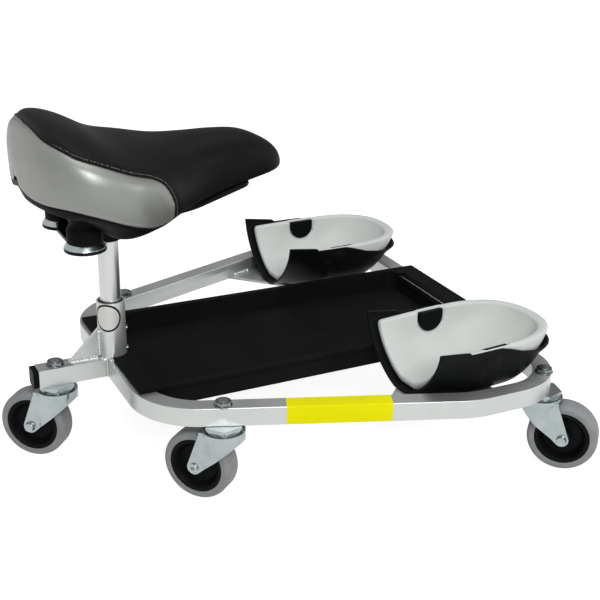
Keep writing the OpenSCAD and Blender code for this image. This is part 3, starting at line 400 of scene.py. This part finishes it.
def half_section(t):
    """Half of the cover's section as (y, z), from the middle of the crown to the edge on the pan."""
    _, w, top, low, wide = station(t)
    lip = min(EDGE_ROUND, w * 0.3, (wide - low) / 3)
    turn = [pi / 2 * (1 - i / CROWN_STEPS) for i in range(CROWN_STEPS + 1)]
    crown = [(w * cos(a) ** (2 / CROWN_POWER) if i else 0, wide + (top - wide) * sin(a) ** (2 / CROWN_POWER))
             for i, a in enumerate(turn)]
    crown[-1] = (w, wide)
    shares = [i / SKIRT_STEPS for i in range(1, SKIRT_STEPS + 1)]
    skirt = [(w * (1 - SKIRT_TUCK * s * s), wide - (wide - low - lip) * s) for s in shares]
    corner = w * (1 - SKIRT_TUCK) - lip
    edge = [(corner + lip * cos(a), low + lip - lip * sin(a))
            for a in (pi / 2 * i / LIP_STEPS for i in range(1, LIP_STEPS + 1))]
    inner = max(corner - PAN_INSET, corner * 0.5)
    return crown + skirt + edge + [(inner, low), (inner, low + PAN_INSET)]


def lengths(section):
    """Distance along a section at each of its points, as a share of the whole."""
    total = [0]
    for a, b in zip(section, section[1:]):
        total.append(total[-1] + hypot(b[0] - a[0], b[1] - a[1]))
    return [d / total[-1] for d in total]


def on_cover(t, share):
    """Point of the cover at a station and a share of its half section."""
    section = half_section(t)
    along = lengths(section)
    i = min(max(bisect_left(along, share), 1), len(along) - 1)
    f = (share - along[i - 1]) / (along[i] - along[i - 1])
    y, z = (section[i - 1][k] + f * (section[i][k] - section[i - 1][k]) for k in (0, 1))
    return at_post(station(t)[0], y, z)


# Route of the seam on one side, from the middle of the back over the wing to the lower edge
SEAM_ROUTE = ((-76.6, 4.7, 366.9), (-73.6, 54.2, 363.9), (-58, 88.9, 357.8), (-34.9, 102.1, 349.7),
              (3.1, 102.1, 336.8), (21, 94.8, 329.2), (35.9, 87.7, 316.4), (47.8, 75.6, 297.3),
              (50.8, 70.4, 281.2), (51.2, 68, 272))


def seam_shares():
    """Station and share of the half section at each point of the seam's route."""
    found = []
    for x, y, z in SEAM_ROUTE:
        t = station_of(x)
        section = half_section(t)
        gaps = [hypot(y - p[0], z - p[1]) for p in section]
        found.append((t, lengths(section)[gaps.index(min(gaps))]))
    return [(found[0][0] - 0.02, 0.0)] + found


SEAM = seam_shares()
SEAM_STEPS = 24
SEAM_T, SEAM_S = (
    [smooth([p[c] for p in SEAM], i / SEAM_STEPS) for i in range((len(SEAM) - 1) * SEAM_STEPS + 1)]
    for c in (0, 1))
SEAM_LINE = [on_cover(t, max(s, 0)) for t, s in zip(SEAM_T, SEAM_S)]
SEAM_LINE = [p * Vector((1, -1, 1)) for p in reversed(SEAM_LINE)] + SEAM_LINE[1:]


def on_silver(t, share):
    """True on the silver side of the seam."""
    if t <= SEAM_T[0]:
        return True
    i = bisect_left(SEAM_T, t)
    return i < len(SEAM_T) and share > SEAM_S[i]


# Depth and width of the groove at the seam
GROOVE, GROOVE_W = 1.0, 1.7
# The foam's swell beside the groove: its height, its distance from the seam and its width
PUFF, PUFF_AT, PUFF_W = 0.7, 9, 6
COVER_STEPS = 7
# The rings that close the ends, as shares of the last section, and the height of their dome
END_RINGS, END_DOME = (0.82, 0.6, 0.35, 0.12), 1.6
# Distance from the seam that the ends are given: silver at the rear, black at the nose
END_MARK = 40 * MM


def saddle_cover():
    """Sewn cover over the foam: crowned wings, drawn-in skirt, sunk seam."""
    count = (len(STATIONS) - 1) * COVER_STEPS
    bm = bmesh.new()
    depth = bm.verts.layers.float.new("seam")
    rings, marks = [], []
    for i in range(count + 1):
        t = i / COVER_STEPS
        half = half_section(t)
        share = lengths(half)
        x = station(t)[0]
        rings.append([at_post(x, -y, z) for y, z in reversed(half)] + [at_post(x, y, z) for y, z in half[1:]])
        marks.append([(t, s) for s in reversed(share)] + [(t, s) for s in share[1:]])
    rows = loft(bm, rings, capped=False)
    # Both ends close in a few shrinking rings with a slight dome
    for end, step in ((0, -1), (-1, 1)):
        ring, last = rows[end], rings[end]
        centre = sum(last, Vector()) / len(last)
        for size in END_RINGS:
            swell = Vector((step * END_DOME * MM * (1 - size * size), 0, 0))
            places = [centre + (p - centre) * size + swell for p in last]
            ring = grow(bm, ring, places)
            for v in ring:
                v[depth] = END_MARK if end == 0 else -END_MARK
        bmesh.ops.contextual_create(bm, geom=edges_between(ring))
    tree = kdtree.KDTree(len(SEAM_LINE))
    for i, p in enumerate(SEAM_LINE):
        tree.insert(p, i)
    tree.balance()
    bmesh.ops.recalc_face_normals(bm, faces=bm.faces)
    bm.normal_update()
    moves = {}
    for row, mark in zip(rows, marks):
        for v, (t, s) in zip(row, mark):
            d = tree.find(v.co)[2]
            v[depth] = d if on_silver(t, s) else -d
            dent = -GROOVE * exp(-(d / MM / GROOVE_W) ** 2) + PUFF * exp(-((d / MM - PUFF_AT) / PUFF_W) ** 2)
            moves[v] = v.normal * dent * MM
    for v, move in moves.items():
        v.co += move
    made = piece("saddle_cover", bm, "saddle", "black_vinyl", VINYL, "saddle_cushion")
    modify(made, "SUBSURF", levels=1, render_levels=1)


PIPING_R = 0.7
# Distance between stitches, and their distance from the seam and height above the cover
STITCH_PITCH, STITCH_REACH, STITCH_LIFT = 2.4, 2.1, 0.3
STITCH_HALF = (0.75, 0.26, 0.28)


def seam_trim():
    """Piping in the seam, and a row of stitches along each side of it."""
    bm = bmesh.new()
    line = [p for i, p in enumerate(SEAM_LINE) if i % 3 == 0]
    tube(bm, line, PIPING_R * MM, 8)
    piece("seam_piping", bm, "saddle", "black_vinyl", WELT)
    bm = bmesh.new()
    run = 0.0
    for a, b in zip(SEAM_LINE, SEAM_LINE[1:]):
        run += (b - a).length
        if run < STITCH_PITCH * MM:
            continue
        run -= STITCH_PITCH * MM
        along = (b - a).normalized()
        # The cover faces away from the middle of the saddle at this place
        out = (a - at_post(a.x / MM - POST.x / MM, 0, EDGE_Z + SADDLE_H * 0.3)).normalized()
        across = along.cross(out).normalized()
        out = across.cross(along)
        for side in (-1, 1):
            spot = Matrix((along, across, out)).transposed().to_4x4()
            spot.translation = a + side * STITCH_REACH * MM * across + STITCH_LIFT * MM * out
            shape = spot @ Matrix.Diagonal((*(half * MM for half in STITCH_HALF), 1))
            bmesh.ops.create_uvsphere(bm, u_segments=6, v_segments=4, radius=1, matrix=shape)
    piece("seam_stitches", bm, "saddle", "black_vinyl", THREAD)


# The belly hangs below the pan's edge: its depth, its deepest place, how far behind the post it
# starts, how far ahead of its deepest place it ends, and its foot's distance from the centre line
BELLY_DEPTH = 27
BELLY_X = -2
BELLY_BACK = 66
BELLY_FRONT = 34
BELLY_Y = 50
# The pan's rim: its depth, and its depth at the rear. Then the place where it starts to deepen and
# the place where it has faded out, each with the length that the change takes.
PAN_RIM, PAN_RIM_REAR = 8, 3
PAN_RIM_DEEPENS, PAN_RIM_FADES = (-88, 30), (-10, 25)
# The pan's edge lies this far inside the cover's, and its foot this far inside its own edge
PAN_GAP, PAN_FOOT = 2.5, 6
PAN_T = 3
RECESS = 13.7
# Rows for each station, and rows left out at either end
PAN_STEPS, PAN_CUT = 4, 2
# The seats over the springs: wider than a spring by the rim, above it by the gap
SEAT_RIM, SEAT_GAP, SEAT_H = 2, 0.3, 7


def belly(x):
    """Share of the belly's depth at a place along the saddle."""
    if x < BELLY_X:
        return ease((x + BELLY_BACK) / (BELLY_BACK + BELLY_X))
    return ease((BELLY_X + BELLY_FRONT - x) / BELLY_FRONT)


def pan_rim(x):
    """Depth of the rim that shows below the cover, at a place along the saddle."""
    deepens = ease((x - PAN_RIM_DEEPENS[0]) / PAN_RIM_DEEPENS[1])
    fades = ease((PAN_RIM_FADES[0] - x) / PAN_RIM_FADES[1])
    return (PAN_RIM_REAR + (PAN_RIM - PAN_RIM_REAR) * deepens) * fades


def pan_section(t):
    """Half of the base pan's section: plate, rim that shows below the cover, and its side wall."""
    x, w, _, low, _ = station(t)
    outer = w * (1 - SKIRT_TUCK) - PAN_GAP
    deep = belly(x)
    foot = outer - PAN_FOOT + (min(BELLY_Y, outer - PAN_FOOT) - outer + PAN_FOOT) * deep
    drop = max(BELLY_DEPTH * deep, pan_rim(x))
    inner = outer * 0.85
    lift = RECESS * ease((2 * w / SADDLE_W - 0.2) / 0.3)
    return [(0, low + lift), (inner * 0.6, low + lift), (inner, low + lift * 0.8), (outer - 3, low + 2.5),
            (outer, low + 0.2), (outer - 0.6, low - 2.2),
            (outer - 4 * (1 - deep) - (outer - foot) * 0.45 * deep, low - 3 - drop * 0.42),
            (foot, low - 3 - drop), (foot - 3, low - 2 - drop), (foot - 4, low - drop * 0.8),
            (outer - 8 - (outer - foot) * 0.4 * deep, low), (inner * 0.6, low + lift - PAN_T),
            (0, low + lift - PAN_T)]


def base_pan():
    """Moulded base pan with its rim and the belly walls beside the clamp."""
    rings = []
    for i in range(PAN_CUT, (len(STATIONS) - 1) * PAN_STEPS - PAN_CUT + 1):
        t = i / PAN_STEPS
        x = station(t)[0]
        half = pan_section(t)
        rings.append([at_post(x, y, z) for y, z in half]
                     + [at_post(x, -y, z) for y, z in reversed(half[1:-1])])
    bm = bmesh.new()
    loft(bm, rings)
    made = piece("base_pan", bm, "saddle", "black_plastic", NYLON, "saddle_pan")
    modify(made, "SUBSURF", levels=1, render_levels=1)
    springs = middle("rubber_springs")
    low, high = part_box("rubber_springs")
    bm = bmesh.new()
    for side in (-1, 1):
        r = (high[0] - low[0]) / 2 + SEAT_RIM * MM
        y = side * (high[1] - r + SEAT_RIM * MM)
        top = high[2] + SEAT_GAP * MM
        turn = [pi * k / 20 for k in range(40)]
        rings = [[Vector((springs.x + r * cos(a), y + r * sin(a), z)) for a in turn]
                 for z in (top, top + SEAT_H * MM)]
        loft(bm, rings)
    piece("spring_seats", bm, "saddle", "black_plastic", NYLON)


# Knee cups ------------------------------------------------------------------------------------

CUP_X, CUP_Y = (middle("cup_bolts").x - POST.x) / MM, 169
CUP_TURN = {-1: radians(5), 1: radians(1.5)}
CUP_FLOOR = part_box("cup_shell_left")[0][2] / MM
CUP_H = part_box("cup_shell_left")[1][2] / MM - CUP_FLOOR
CUP_W, CUP_MID_W = 134, 132
CUP_BACK, CUP_STRAIGHT, CUP_NOSE = 60, 35, 88
CUP_WALL = 3
LIP_FLARE, LIP_LOW, LIP_HIGH = 5, 33, 42
REAR_POWER, FRONT_POWER, MID_POWER, MID_ROUND, NOSE_POWER = 1.6, 1.6, 4, 3, 2.4
FLAT_SHARE = 0.03
LINER_T, LINER_NOSE_T, LINER_H, LINER_SET = 8, 13, 57, 9
BUTTON_U, BUTTON_W, BUTTON_FLAT = 17.5, 30.5, 7.6
BUTTON_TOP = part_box("cup_buttons_left")[1][2] / MM - CUP_FLOOR
# Height of the shell's rim above its floor along each side, with the step behind the middle, which is
# the only stretch shorter than RIM_STEP
RIM_STEP = 5
RIM = ((-60, 66), (-22, 60.2), (-18.5, 57.2), (20, 56.6), (33, 53), (49, 47.5), (70, 43.5), (95, 41),
       (130, 40))


def rise(k, p, q):
    """Share of the full half width at a share of the height."""
    return max(1 - (1 - min(k, 1)) ** p, 0) ** (1 / q)


def cup_half(u, k, inset):
    """Half width of the trough behind the nose."""
    q = ease((u + CUP_BACK) / CUP_BACK)
    a = (CUP_W / 2 - inset) * rise(k, REAR_POWER, REAR_POWER)
    b = (CUP_MID_W / 2 - inset) * rise(k, MID_POWER, MID_ROUND)
    return a + (b - a) * q


SIDE_COLUMNS = 38
NOSE_COLUMNS = 56


def cup_point(column, h, inset, back=CUP_BACK, flare=0.0, nose_in=0):
    """Point (u, v) of the cup's outline at a height. Column 0 is a rear end, the middle one is the nose."""
    k = max(h - inset, 0) / (CUP_H - inset) * (1 - FLAT_SHARE) + FLAT_SHARE
    last = 2 * SIDE_COLUMNS + NOSE_COLUMNS
    side = -1 if column < last / 2 else 1
    from_end = min(column, last - column)
    if from_end < SIDE_COLUMNS:
        u = -back + (CUP_STRAIGHT + back) * (from_end / SIDE_COLUMNS) ** 1.4
        return u, side * cup_half(max(u, -CUP_BACK), k, inset)
    a = pi * (column - SIDE_COLUMNS) / NOSE_COLUMNS - pi / 2
    f = flare * LIP_FLARE * ease((h - LIP_LOW) / (LIP_HIGH - LIP_LOW))
    n = (CUP_NOSE - inset - nose_in) * rise(k, FRONT_POWER, FRONT_POWER)
    w = cup_half(CUP_STRAIGHT, k, inset)
    c, s = max(cos(a), 0), sin(a)
    return (CUP_STRAIGHT + (n + f) * c ** (2 / NOSE_POWER),
            (1 if s > 0 else -1) * (w + f * c) * abs(s) ** (2 / NOSE_POWER))


def at_cup(side, u, v, h):
    """Point of a cup in the scene, from its own place beside its bolt."""
    turn = CUP_TURN[side]
    x = CUP_X + u * cos(turn) - v * sin(turn)
    y = side * CUP_Y + u * sin(turn) + v * cos(turn)
    return at_post(x, y, CUP_FLOOR + h)


def rim_height(u):
    """Height of the shell's rim at a distance from its bolt."""
    i = 1
    while i < len(RIM) - 1 and RIM[i][0] < u:
        i += 1
    (a, p), (b, q) = RIM[i - 1], RIM[i]
    share = (u - a) / (b - a)
    return p + (q - p) * (ease(share) if b - a < RIM_STEP else min(max(share, 0), 1))


# Rib and panel on each side of a shell: rear and front, foot and top, and how far they stand out
RIB = (-12, -3, 17, 41, 1.3)
PANEL = (-3, 18, 33, 52, 0.8)


def raised(u, h, rear, front, foot, top, height):
    """Height of a moulded field with sloped edges."""
    field = ease((u - rear) / 1.5) * ease((front - u) / 1.5) * ease((h - foot) / 2) * ease((top - h) / 2)
    return height * field


def side_relief(u, h):
    """Rib and shallow panel moulded on each side of the shell, as height above the wall."""
    return raised(u, h, *RIB) + raised(u, h, *PANEL)


def cup_rows(side, inset, top, back, flare, down_rows=30, relief=None, nose_in=0, pinch=0):
    """Rows of places of a cup's skin, from its rim down to the middle of its floor.

    Pinch moves the skin towards the foam's middle near its open end, so that the end is rounded.
    """
    columns = range(2 * SIDE_COLUMNS + NOSE_COLUMNS + 1)
    from_end = [cup_point(c, CUP_H, inset, back)[0] + back for c in columns]
    insets = [inset + pinch * (1 - sqrt(max(1 - max(1 - e / abs(pinch), 0) ** 2, 0))) if pinch else inset
              for e in from_end]
    tops = [top(cup_point(c, CUP_H, inset, back)[0]) for c in columns]
    if pinch:
        tops = [t - CORNER * (1 - sqrt(1 - max(1 - e / CORNER, 0) ** 2)) for t, e in zip(tops, from_end)]
    rows = []
    for r in range(down_rows + 1):
        share = 1 - r / down_rows
        places = []
        for c in columns:
            h = insets[c] + (tops[c] - insets[c]) * share
            u, v = cup_point(c, h, insets[c], back, flare, nose_in)
            out = relief(u, h) if relief else 0
            places.append(at_cup(side, u, v + out * (1 if v > 0 else -1), h))
        rows.append(places)
    for share in (0.66, 0.33, 0.0):
        lowest = [cup_point(c, insets[c], insets[c], back, 0, nose_in) for c in columns]
        limit = CUP_STRAIGHT
        rows.append([at_cup(side, u if u < limit else limit + (u - limit) * share, v * share, insets[c])
                     for c, (u, v) in enumerate(lowest)])
    return rows


def faces_up(bm):
    """Turns an open trough's faces inwards, so that its wall grows outwards from them."""
    bmesh.ops.remove_doubles(bm, verts=bm.verts, dist=0.05 * MM)
    bmesh.ops.recalc_face_normals(bm, faces=bm.faces)
    bm.normal_update()
    lowest = min(bm.faces, key=lambda f: f.calc_center_median().z)
    if lowest.normal.z < 0:
        bmesh.ops.reverse_faces(bm, faces=bm.faces)


def shell(name, side):
    """Moulded shell: stepped rim, rib and panel on each side, flared front lip."""
    bm = bmesh.new()
    sheet(bm, cup_rows(side, 0, rim_height, CUP_BACK, 1.0, relief=side_relief))
    faces_up(bm)
    made = piece("knee_shell_" + name, bm, "frame", "cup_plastic", SHELL_PP, "cup_shell_" + name, turned=True)
    modify(made, "SOLIDIFY", thickness=CUP_WALL * MM, offset=1)
    rounded(made, 0.9 * MM, 2, 50)


# Depth of the pocket, its gap round the button, and the width of its sloped edge
POCKET_DEPTH, POCKET_GAP, POCKET_EDGE = 4.6, 1.8, 2.5


def pocket(u, h):
    """Pocket pressed in the liner round a button and open at the rim, as depth towards the shell."""
    away = hypot(u - BUTTON_U, min(h - BUTTON_TOP + BUTTON_FLAT, 0)) - (BUTTON_W / 2 + POCKET_GAP)
    return POCKET_DEPTH * ease(-away / POCKET_EDGE + 0.5)


# Roundings of the foam: its rim, its open end, and in side view the corner where the two meet
RIM_ROUND = 3.4
END_ROUND = 3
CORNER = 5
LINER_ROWS = 34


def liner(name, side):
    """Thermoformed foam liner: thicker round the nose, with a rounded rim and a pocket for each button."""
    seat = CUP_WALL + 0.3
    back = CUP_BACK - LINER_SET
    top = LINER_H - RIM_ROUND
    inside = cup_rows(side, seat + LINER_T, lambda u: top, back, 0.0, LINER_ROWS, pocket,
                      LINER_NOSE_T - LINER_T, -END_ROUND)
    outside = cup_rows(side, seat, lambda u: top, back, 0.0, LINER_ROWS, None, 0, END_ROUND)
    over = [[a.lerp(b, (1 - cos(t)) / 2) + Vector((0, 0, RIM_ROUND * MM * sin(t) ** 0.7))
             for a, b in zip(inside[0], outside[0])] for t in (pi * i / 10 for i in range(1, 10))]
    bm = bmesh.new()
    sheet(bm, inside[::-1] + over + outside)
    bmesh.ops.remove_doubles(bm, verts=bm.verts, dist=0.01 * MM)
    bmesh.ops.contextual_create(bm, geom=[e for e in bm.edges if e.is_boundary])
    made = piece("knee_liner_" + name, bm, "frame", "liner_foam", FOAM, "cup_liner_" + name)
    rounded(made, 0.5 * MM, 2, 50)


# Small trim -----------------------------------------------------------------------------------

# The side rails' splay from straight ahead, and the place along where their axis turns straight
SPLAY = radians(20.5)
SIDE_BEND_X = 303
SIDE_Y = (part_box("side_rail_left")[1][1]) / MM - TUBE / 2
REAR_Y = SIDE_Y - tan(SPLAY) * SIDE_BEND_X
# Height of the beads on the cup brackets, just above the plates' top
BRACKET_BEAD = FLOOR_TO_FRAME + 3.4
BEAD_STEP = 0.5


def weld_bead(name, path, radius, lump=0.34, pitch=3.6):
    """Hand-laid weld bead: overlapping lumps along a path given in millimetres."""
    points = [at_post(*p) for p in path]
    fine = []
    for a, b in zip(points, points[1:]):
        n = max(int((b - a).length / (BEAD_STEP * MM)), 1)
        fine += [a.lerp(b, i / n) for i in range(n)]
    fine.append(points[-1])

    def swell(i):
        wave = abs(sin(pi * i * BEAD_STEP / pitch)) ** 0.6
        wander = noise.noise(fine[i] / (4 * MM))
        ends = min(1, (min(i, len(fine) - 1 - i) + 1) / 4)
        return radius * MM * (1 - lump + lump * wave + 0.3 * wander) * (0.4 + 0.6 * ends)

    bm = bmesh.new()
    tube(bm, fine, swell, 10)
    # The beads take the powder coat painted paler, a painted highlight
    piece(name, bm, "frame", "silver_paint", BEAD_PAINTED_HIGHLIGHT)


def around(r, z, start, stop, steps=24):
    """Points of a level arc round the post, with its angles in degrees."""
    turn = [radians(start + (stop - start) * i / steps) for i in range(steps + 1)]
    return [(r * cos(a), r * sin(a), z) for a in turn]


def welds():
    """Beads of the gusset, the sleeve's foot and the cup brackets."""
    foot = FRAME_TOP + 0.3
    for name, side in SIDES.items():
        y = side * 2.8
        weld_bead("weld_gusset_" + name, [(-49, y, foot), (-17, y, foot)], 2.7)
        weld_bead("weld_upright_" + name, [(-SLEEVE_R - 0.3, side * 2.4, foot + 2),
                                           (-SLEEVE_R - 0.3, side * 2.4, foot + 32)], 1.7, 0.2)
        arc = around(SLEEVE_R + 0.5, foot, 180 - side * 14, 180 - side * 48)
        weld_bead("weld_sleeve_stub_" + name, arc, 2.5)
        beside = side * (SLEEVE_R + 0.3)
        weld_bead("weld_sleeve_rail_" + name, [(-9, beside, foot), (9, beside, foot)], 2.5)
        for place, run in (("rear", (228, 252)), ("front", (268, 292))):
            edge = [(x, side * (REAR_Y + tan(SPLAY) * x - TUBE / 2 / cos(SPLAY) - 0.3), BRACKET_BEAD)
                    for x in run]
            weld_bead("weld_bracket_" + place + "_" + name, edge, 2.4)


TRAY_FRONT = (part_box("tool_tray")[1][0] - POST.x) / MM
TRAY_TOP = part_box("tool_tray")[1][2] / MM
# From the tray's front edge back to the foot of its front slope, and the slope's rise and half width
SLOPE_BACK, SLOPE_RISE, SLOPE_HALF = 31, 8, 79
# How far the skin lies to each side of the slope, along x and along z
SLOPE_SKIN = 0.3


def tray_slope():
    """Thin skin laid on the tray's front slope, over the slot where the slope meets the flange."""
    foot = Vector((TRAY_FRONT - SLOPE_BACK, 0, TRAY_TOP - SLOPE_RISE))
    low, high = foot + Vector((-0.3, 0, -0.5)), foot + Vector((SLOPE_RISE + 0.4, 0, SLOPE_RISE + 0.2))
    out = Vector((-SLOPE_SKIN, 0, SLOPE_SKIN))
    section = [low - out, high - out, high + out, low + out]
    bm = bmesh.new()
    loft(bm, [[at_post(c.x, side * SLOPE_HALF, c.z) for c in section] for side in (-1, 1)])
    piece("tray_front_slope", bm, "frame", "tray_plastic", TRAY_ABS)


TAPE_FROM, TAPE_TO = 123, 223
TAPE_T = 0.15
# The tape's bend over the rail's edge, and how far its inner border stops short of the inner side,
# counted with the tape's own thickness
TAPE_BEND, TAPE_INSET = 1.3, 1.2
TAPE_STEPS = 20


def tape_band():
    """Plain yellow tape over the top and the outer side of the right rail."""
    half = TUBE / 2 + TAPE_T
    corner = [(TAPE_BEND * sin(a), TAPE_BEND * cos(a)) for a in (pi / 2 * i / 5 for i in range(6))]
    section = [(-half + TAPE_INSET, half)]
    section += [(half - TAPE_BEND + o, half - TAPE_BEND + z) for o, z in corner]
    section += [(half - TAPE_BEND + o, -half + TAPE_BEND - z) for o, z in reversed(corner)]
    bm = bmesh.new()
    rows = []
    for i in range(TAPE_STEPS + 1):
        x = TAPE_FROM + (TAPE_TO - TAPE_FROM) * i / TAPE_STEPS
        axis_y = REAR_Y + tan(SPLAY) * x
        rows.append([at_post(x - o * sin(SPLAY), -(axis_y + o * cos(SPLAY)), FLOOR_TO_FRAME + TUBE / 2 + z)
                     for o, z in section])
    sheet(bm, rows)
    piece("tape_yellow_band", bm, "frame", "silver_paint", TAPE)


DISC_R = 15.6
DISC_RING = 2.1
DISC_LIFT = 0.12
DISC_SIDES, DISC_RINGS = 48, 8
DISC_TURN = radians(-125)
DISC_Z = SLEEVE_TOP - DISC_R - 0.5


def sleeve_disc():
    """Plain foil disc with a dark border, wrapped round the sleeve."""
    foil_r = DISC_R - DISC_RING
    reach = SLEEVE_R + DISC_LIFT
    for name, r0, r1, material in (("disc_foil", 0, foil_r, FOIL), ("disc_border", foil_r, DISC_R, WELT)):
        bm = bmesh.new()
        rings = []
        inwards = [r1 * i / DISC_RINGS for i in range(DISC_RINGS, 0, -1)]
        for r in (inwards if r0 == 0 else [r1, (r0 + r1) / 2, r0]):
            ring = []
            for k in range(DISC_SIDES):
                a = 2 * pi * k / DISC_SIDES
                turn = DISC_TURN + r * cos(a) / SLEEVE_R
                ring.append(at_post(reach * cos(turn), reach * sin(turn), DISC_Z + r * sin(a)))
            rings.append(ring)
        rows = loft(bm, rings, capped=False)
        if r0 == 0:
            bmesh.ops.contextual_create(bm, geom=edges_between(rows[-1]))
        piece(name, bm, "frame", "silver_paint", material)


# CAD pieces that stay -------------------------------------------------------------------------

# Finish, rounding of the hard edges in millimetres, and the nodes that take them
CAD_FINISHES = (
    (SILVER_PAINT, 1.6, ("side_rail_right", "side_rail_left", "rear_stub")),
    (SILVER_PAINT, 0.6, ("post_sleeve", "gusset", "cup_bracket_right", "cup_bracket_left")),
    (NYLON, 0.4, ("sleeve_bush", "stub_end_cap", "clamp_head", "clamp_jaws", "nose_clip")),
    (SHELL_PP, 1.4, ("cup_buttons_right", "cup_buttons_left")),
    (TRAY_ABS, 0.4, ("tool_tray",)),
    # Nuts and bolts take the zinc painted darker, a painted dark reflection
    (ZINC_PAINTED_DARK_REFLECTION, 0.4, ("set_screws", "cup_bolts", "stem_nuts", "stem_washers", "tilt_bolt")),
    (ZINC, 0.4, ("spring_cups",)),
    (CHROME, 0.5, ("seat_post",)),
    (BLACK_PAINT, 0.6, ("saddle_rails", "spring_yoke")),
    (RUBBER, 1.0, ("rubber_springs",)),
    (ZINC, 0.5, tuple(kind + area for kind in ("stem_", "axle_") for area in AREAS)),
    (ZINC, 0.7, tuple("fork_" + area for area in AREAS)),
    (HUB_PP, 0.7, tuple("hub_" + area for area in AREAS)),
    (TYRE, 0.5, tuple("tyre_" + area for area in AREAS)),
)


def dress_cad():
    """Gives every CAD node that stays its finish, and rounds its hard edges."""
    for material, width, names in CAD_FINISHES:
        for name in names:
            node = nodes[name]
            for held in node.material_slots:
                held.material = material
            modify(node, "WELD", merge_threshold=0.01 * MM)
            rounded(node, width * MM, 3, 35)


# Camera, light and floor ----------------------------------------------------------------------

def camera():
    """Camera at the photograph's viewpoint."""
    right = Vector((0.90178, -0.43203, 0.01156))
    up = Vector((0.15431, 0.34684, 0.92514))
    back = right.cross(up)
    made = bpy.data.objects.new("camera", bpy.data.cameras.new("camera"))
    made.data.lens = 71.56
    made.data.sensor_width = 36
    made.data.clip_start = 0.05
    place = Matrix.Translation((-0.49785, -1.1414, 0.6535))
    made.matrix_world = place @ Matrix((right, up, back)).transposed().to_4x4()
    bpy.context.scene.collection.objects.link(made)
    bpy.context.scene.camera = made


def seen_or_mirrored(tree):
    """Light path nodes: the ray itself, and one that is 1 for the camera and for reflections."""
    ray = add(tree, "LightPath")
    both = {0: ray.outputs["Is Camera Ray"], 1: ray.outputs["Is Glossy Ray"]}
    return ray, add(tree, "Math", both, operation="MAXIMUM")


def lamp(name, place, aim, size, watts):
    """Soft square lamp."""
    made = bpy.data.objects.new(name, bpy.data.lights.new(name, "AREA"))
    made.data.shape = "SQUARE"
    made.data.size = size
    made.data.energy = watts
    made.location = place
    made.rotation_euler = (Vector(place) - Vector(aim)).to_track_quat("Z", "Y").to_euler()
    bpy.context.scene.collection.objects.link(made)


def studio():
    """White surroundings for the camera and for reflections, softer light for the rest."""
    world = bpy.data.worlds.new("studio")
    world.use_nodes = True
    bpy.context.scene.world = world
    tree = world.node_tree
    ray, seen = seen_or_mirrored(tree)
    through = {0: seen.outputs[0], 1: ray.outputs["Is Transmission Ray"]}
    seen = add(tree, "Math", through, operation="MAXIMUM")
    soft = add(tree, "Background", {"Color": linear("#ffffff"), "Strength": 0.42})
    white = add(tree, "Background", {"Color": linear("#ffffff"), "Strength": 1.0})
    mixed = add(tree, "MixShader", {0: seen.outputs[0], 1: soft.outputs[0], 2: white.outputs[0]})
    tree.links.new(mixed.outputs[0], tree.nodes["World Output"].inputs["Surface"])
    lamp("key", (-0.5, -2.4, 1.9), (0, 0, 0.15), 1.1, 54)
    lamp("fill", (1.9, -1.3, 0.8), (0, 0, 0.15), 1.2, 9)
    lamp("overhead", (0.1, 0.2, 2.2), (0, 0, 0.1), 1.4, 12)


def plane(name, size, material):
    """Level square of one material, for the stage."""
    bm = bmesh.new()
    bmesh.ops.create_grid(bm, x_segments=1, y_segments=1, size=size)
    mesh = bpy.data.meshes.new(name)
    bm.to_mesh(mesh)
    bm.free()
    mesh.materials.append(material)
    made = bpy.data.objects.new(name, mesh)
    bpy.context.scene.collection.objects.link(made)
    return made


def studio_card():
    """Grey card behind the object, out of shot: it darkens what the level surfaces mirror."""
    made, tree, _ = finish("studio_card_grey", "#6a6a6a", Roughness=1.0)
    grey = add(tree, "Emission", {"Color": linear("#ffffff"), "Strength": 0.3})
    tree.links.new(grey.outputs[0], tree.nodes["Material Output"].inputs["Surface"])
    card = plane("studio_card", 1, made)
    card.location = (1.0, 1.9, 1.15)
    card.scale = (2.0, 1.1, 1)
    card.rotation_euler = Vector((-0.42, -0.87, -0.2)).to_track_quat("Z", "Y").to_euler()
    card.visible_camera = card.visible_diffuse = card.visible_shadow = card.visible_transmission = False


def floor():
    """Pale studio floor that shows white to the camera and keeps a faint shadow."""
    made, tree, shader = finish("studio_floor_white", "#e6e6e6", Roughness=0.9)
    seen = seen_or_mirrored(tree)[1]
    paper = add(tree, "BsdfDiffuse", {"Color": linear("#b0b0b0")})
    glow = add(tree, "Emission", {"Color": linear("#ffffff"), "Strength": 0.87})
    lit = add(tree, "AddShader", {0: paper.outputs[0], 1: glow.outputs[0]})
    mixed = add(tree, "MixShader", {0: seen.outputs[0], 1: shader.outputs[0], 2: lit.outputs[0]})
    tree.links.new(mixed.outputs[0], tree.nodes["Material Output"].inputs["Surface"])
    ground = plane("studio_floor", 6, made)


camera()
studio()
studio_card()
floor()
dress_cad()
saddle_cover()
seam_trim()
base_pan()
for cup, hand in SIDES.items():
    shell(cup, hand)
    liner(cup, hand)
welds()
tray_slope()
tape_band()
sleeve_disc()

bpy.context.scene.view_settings.view_transform = "Standard"
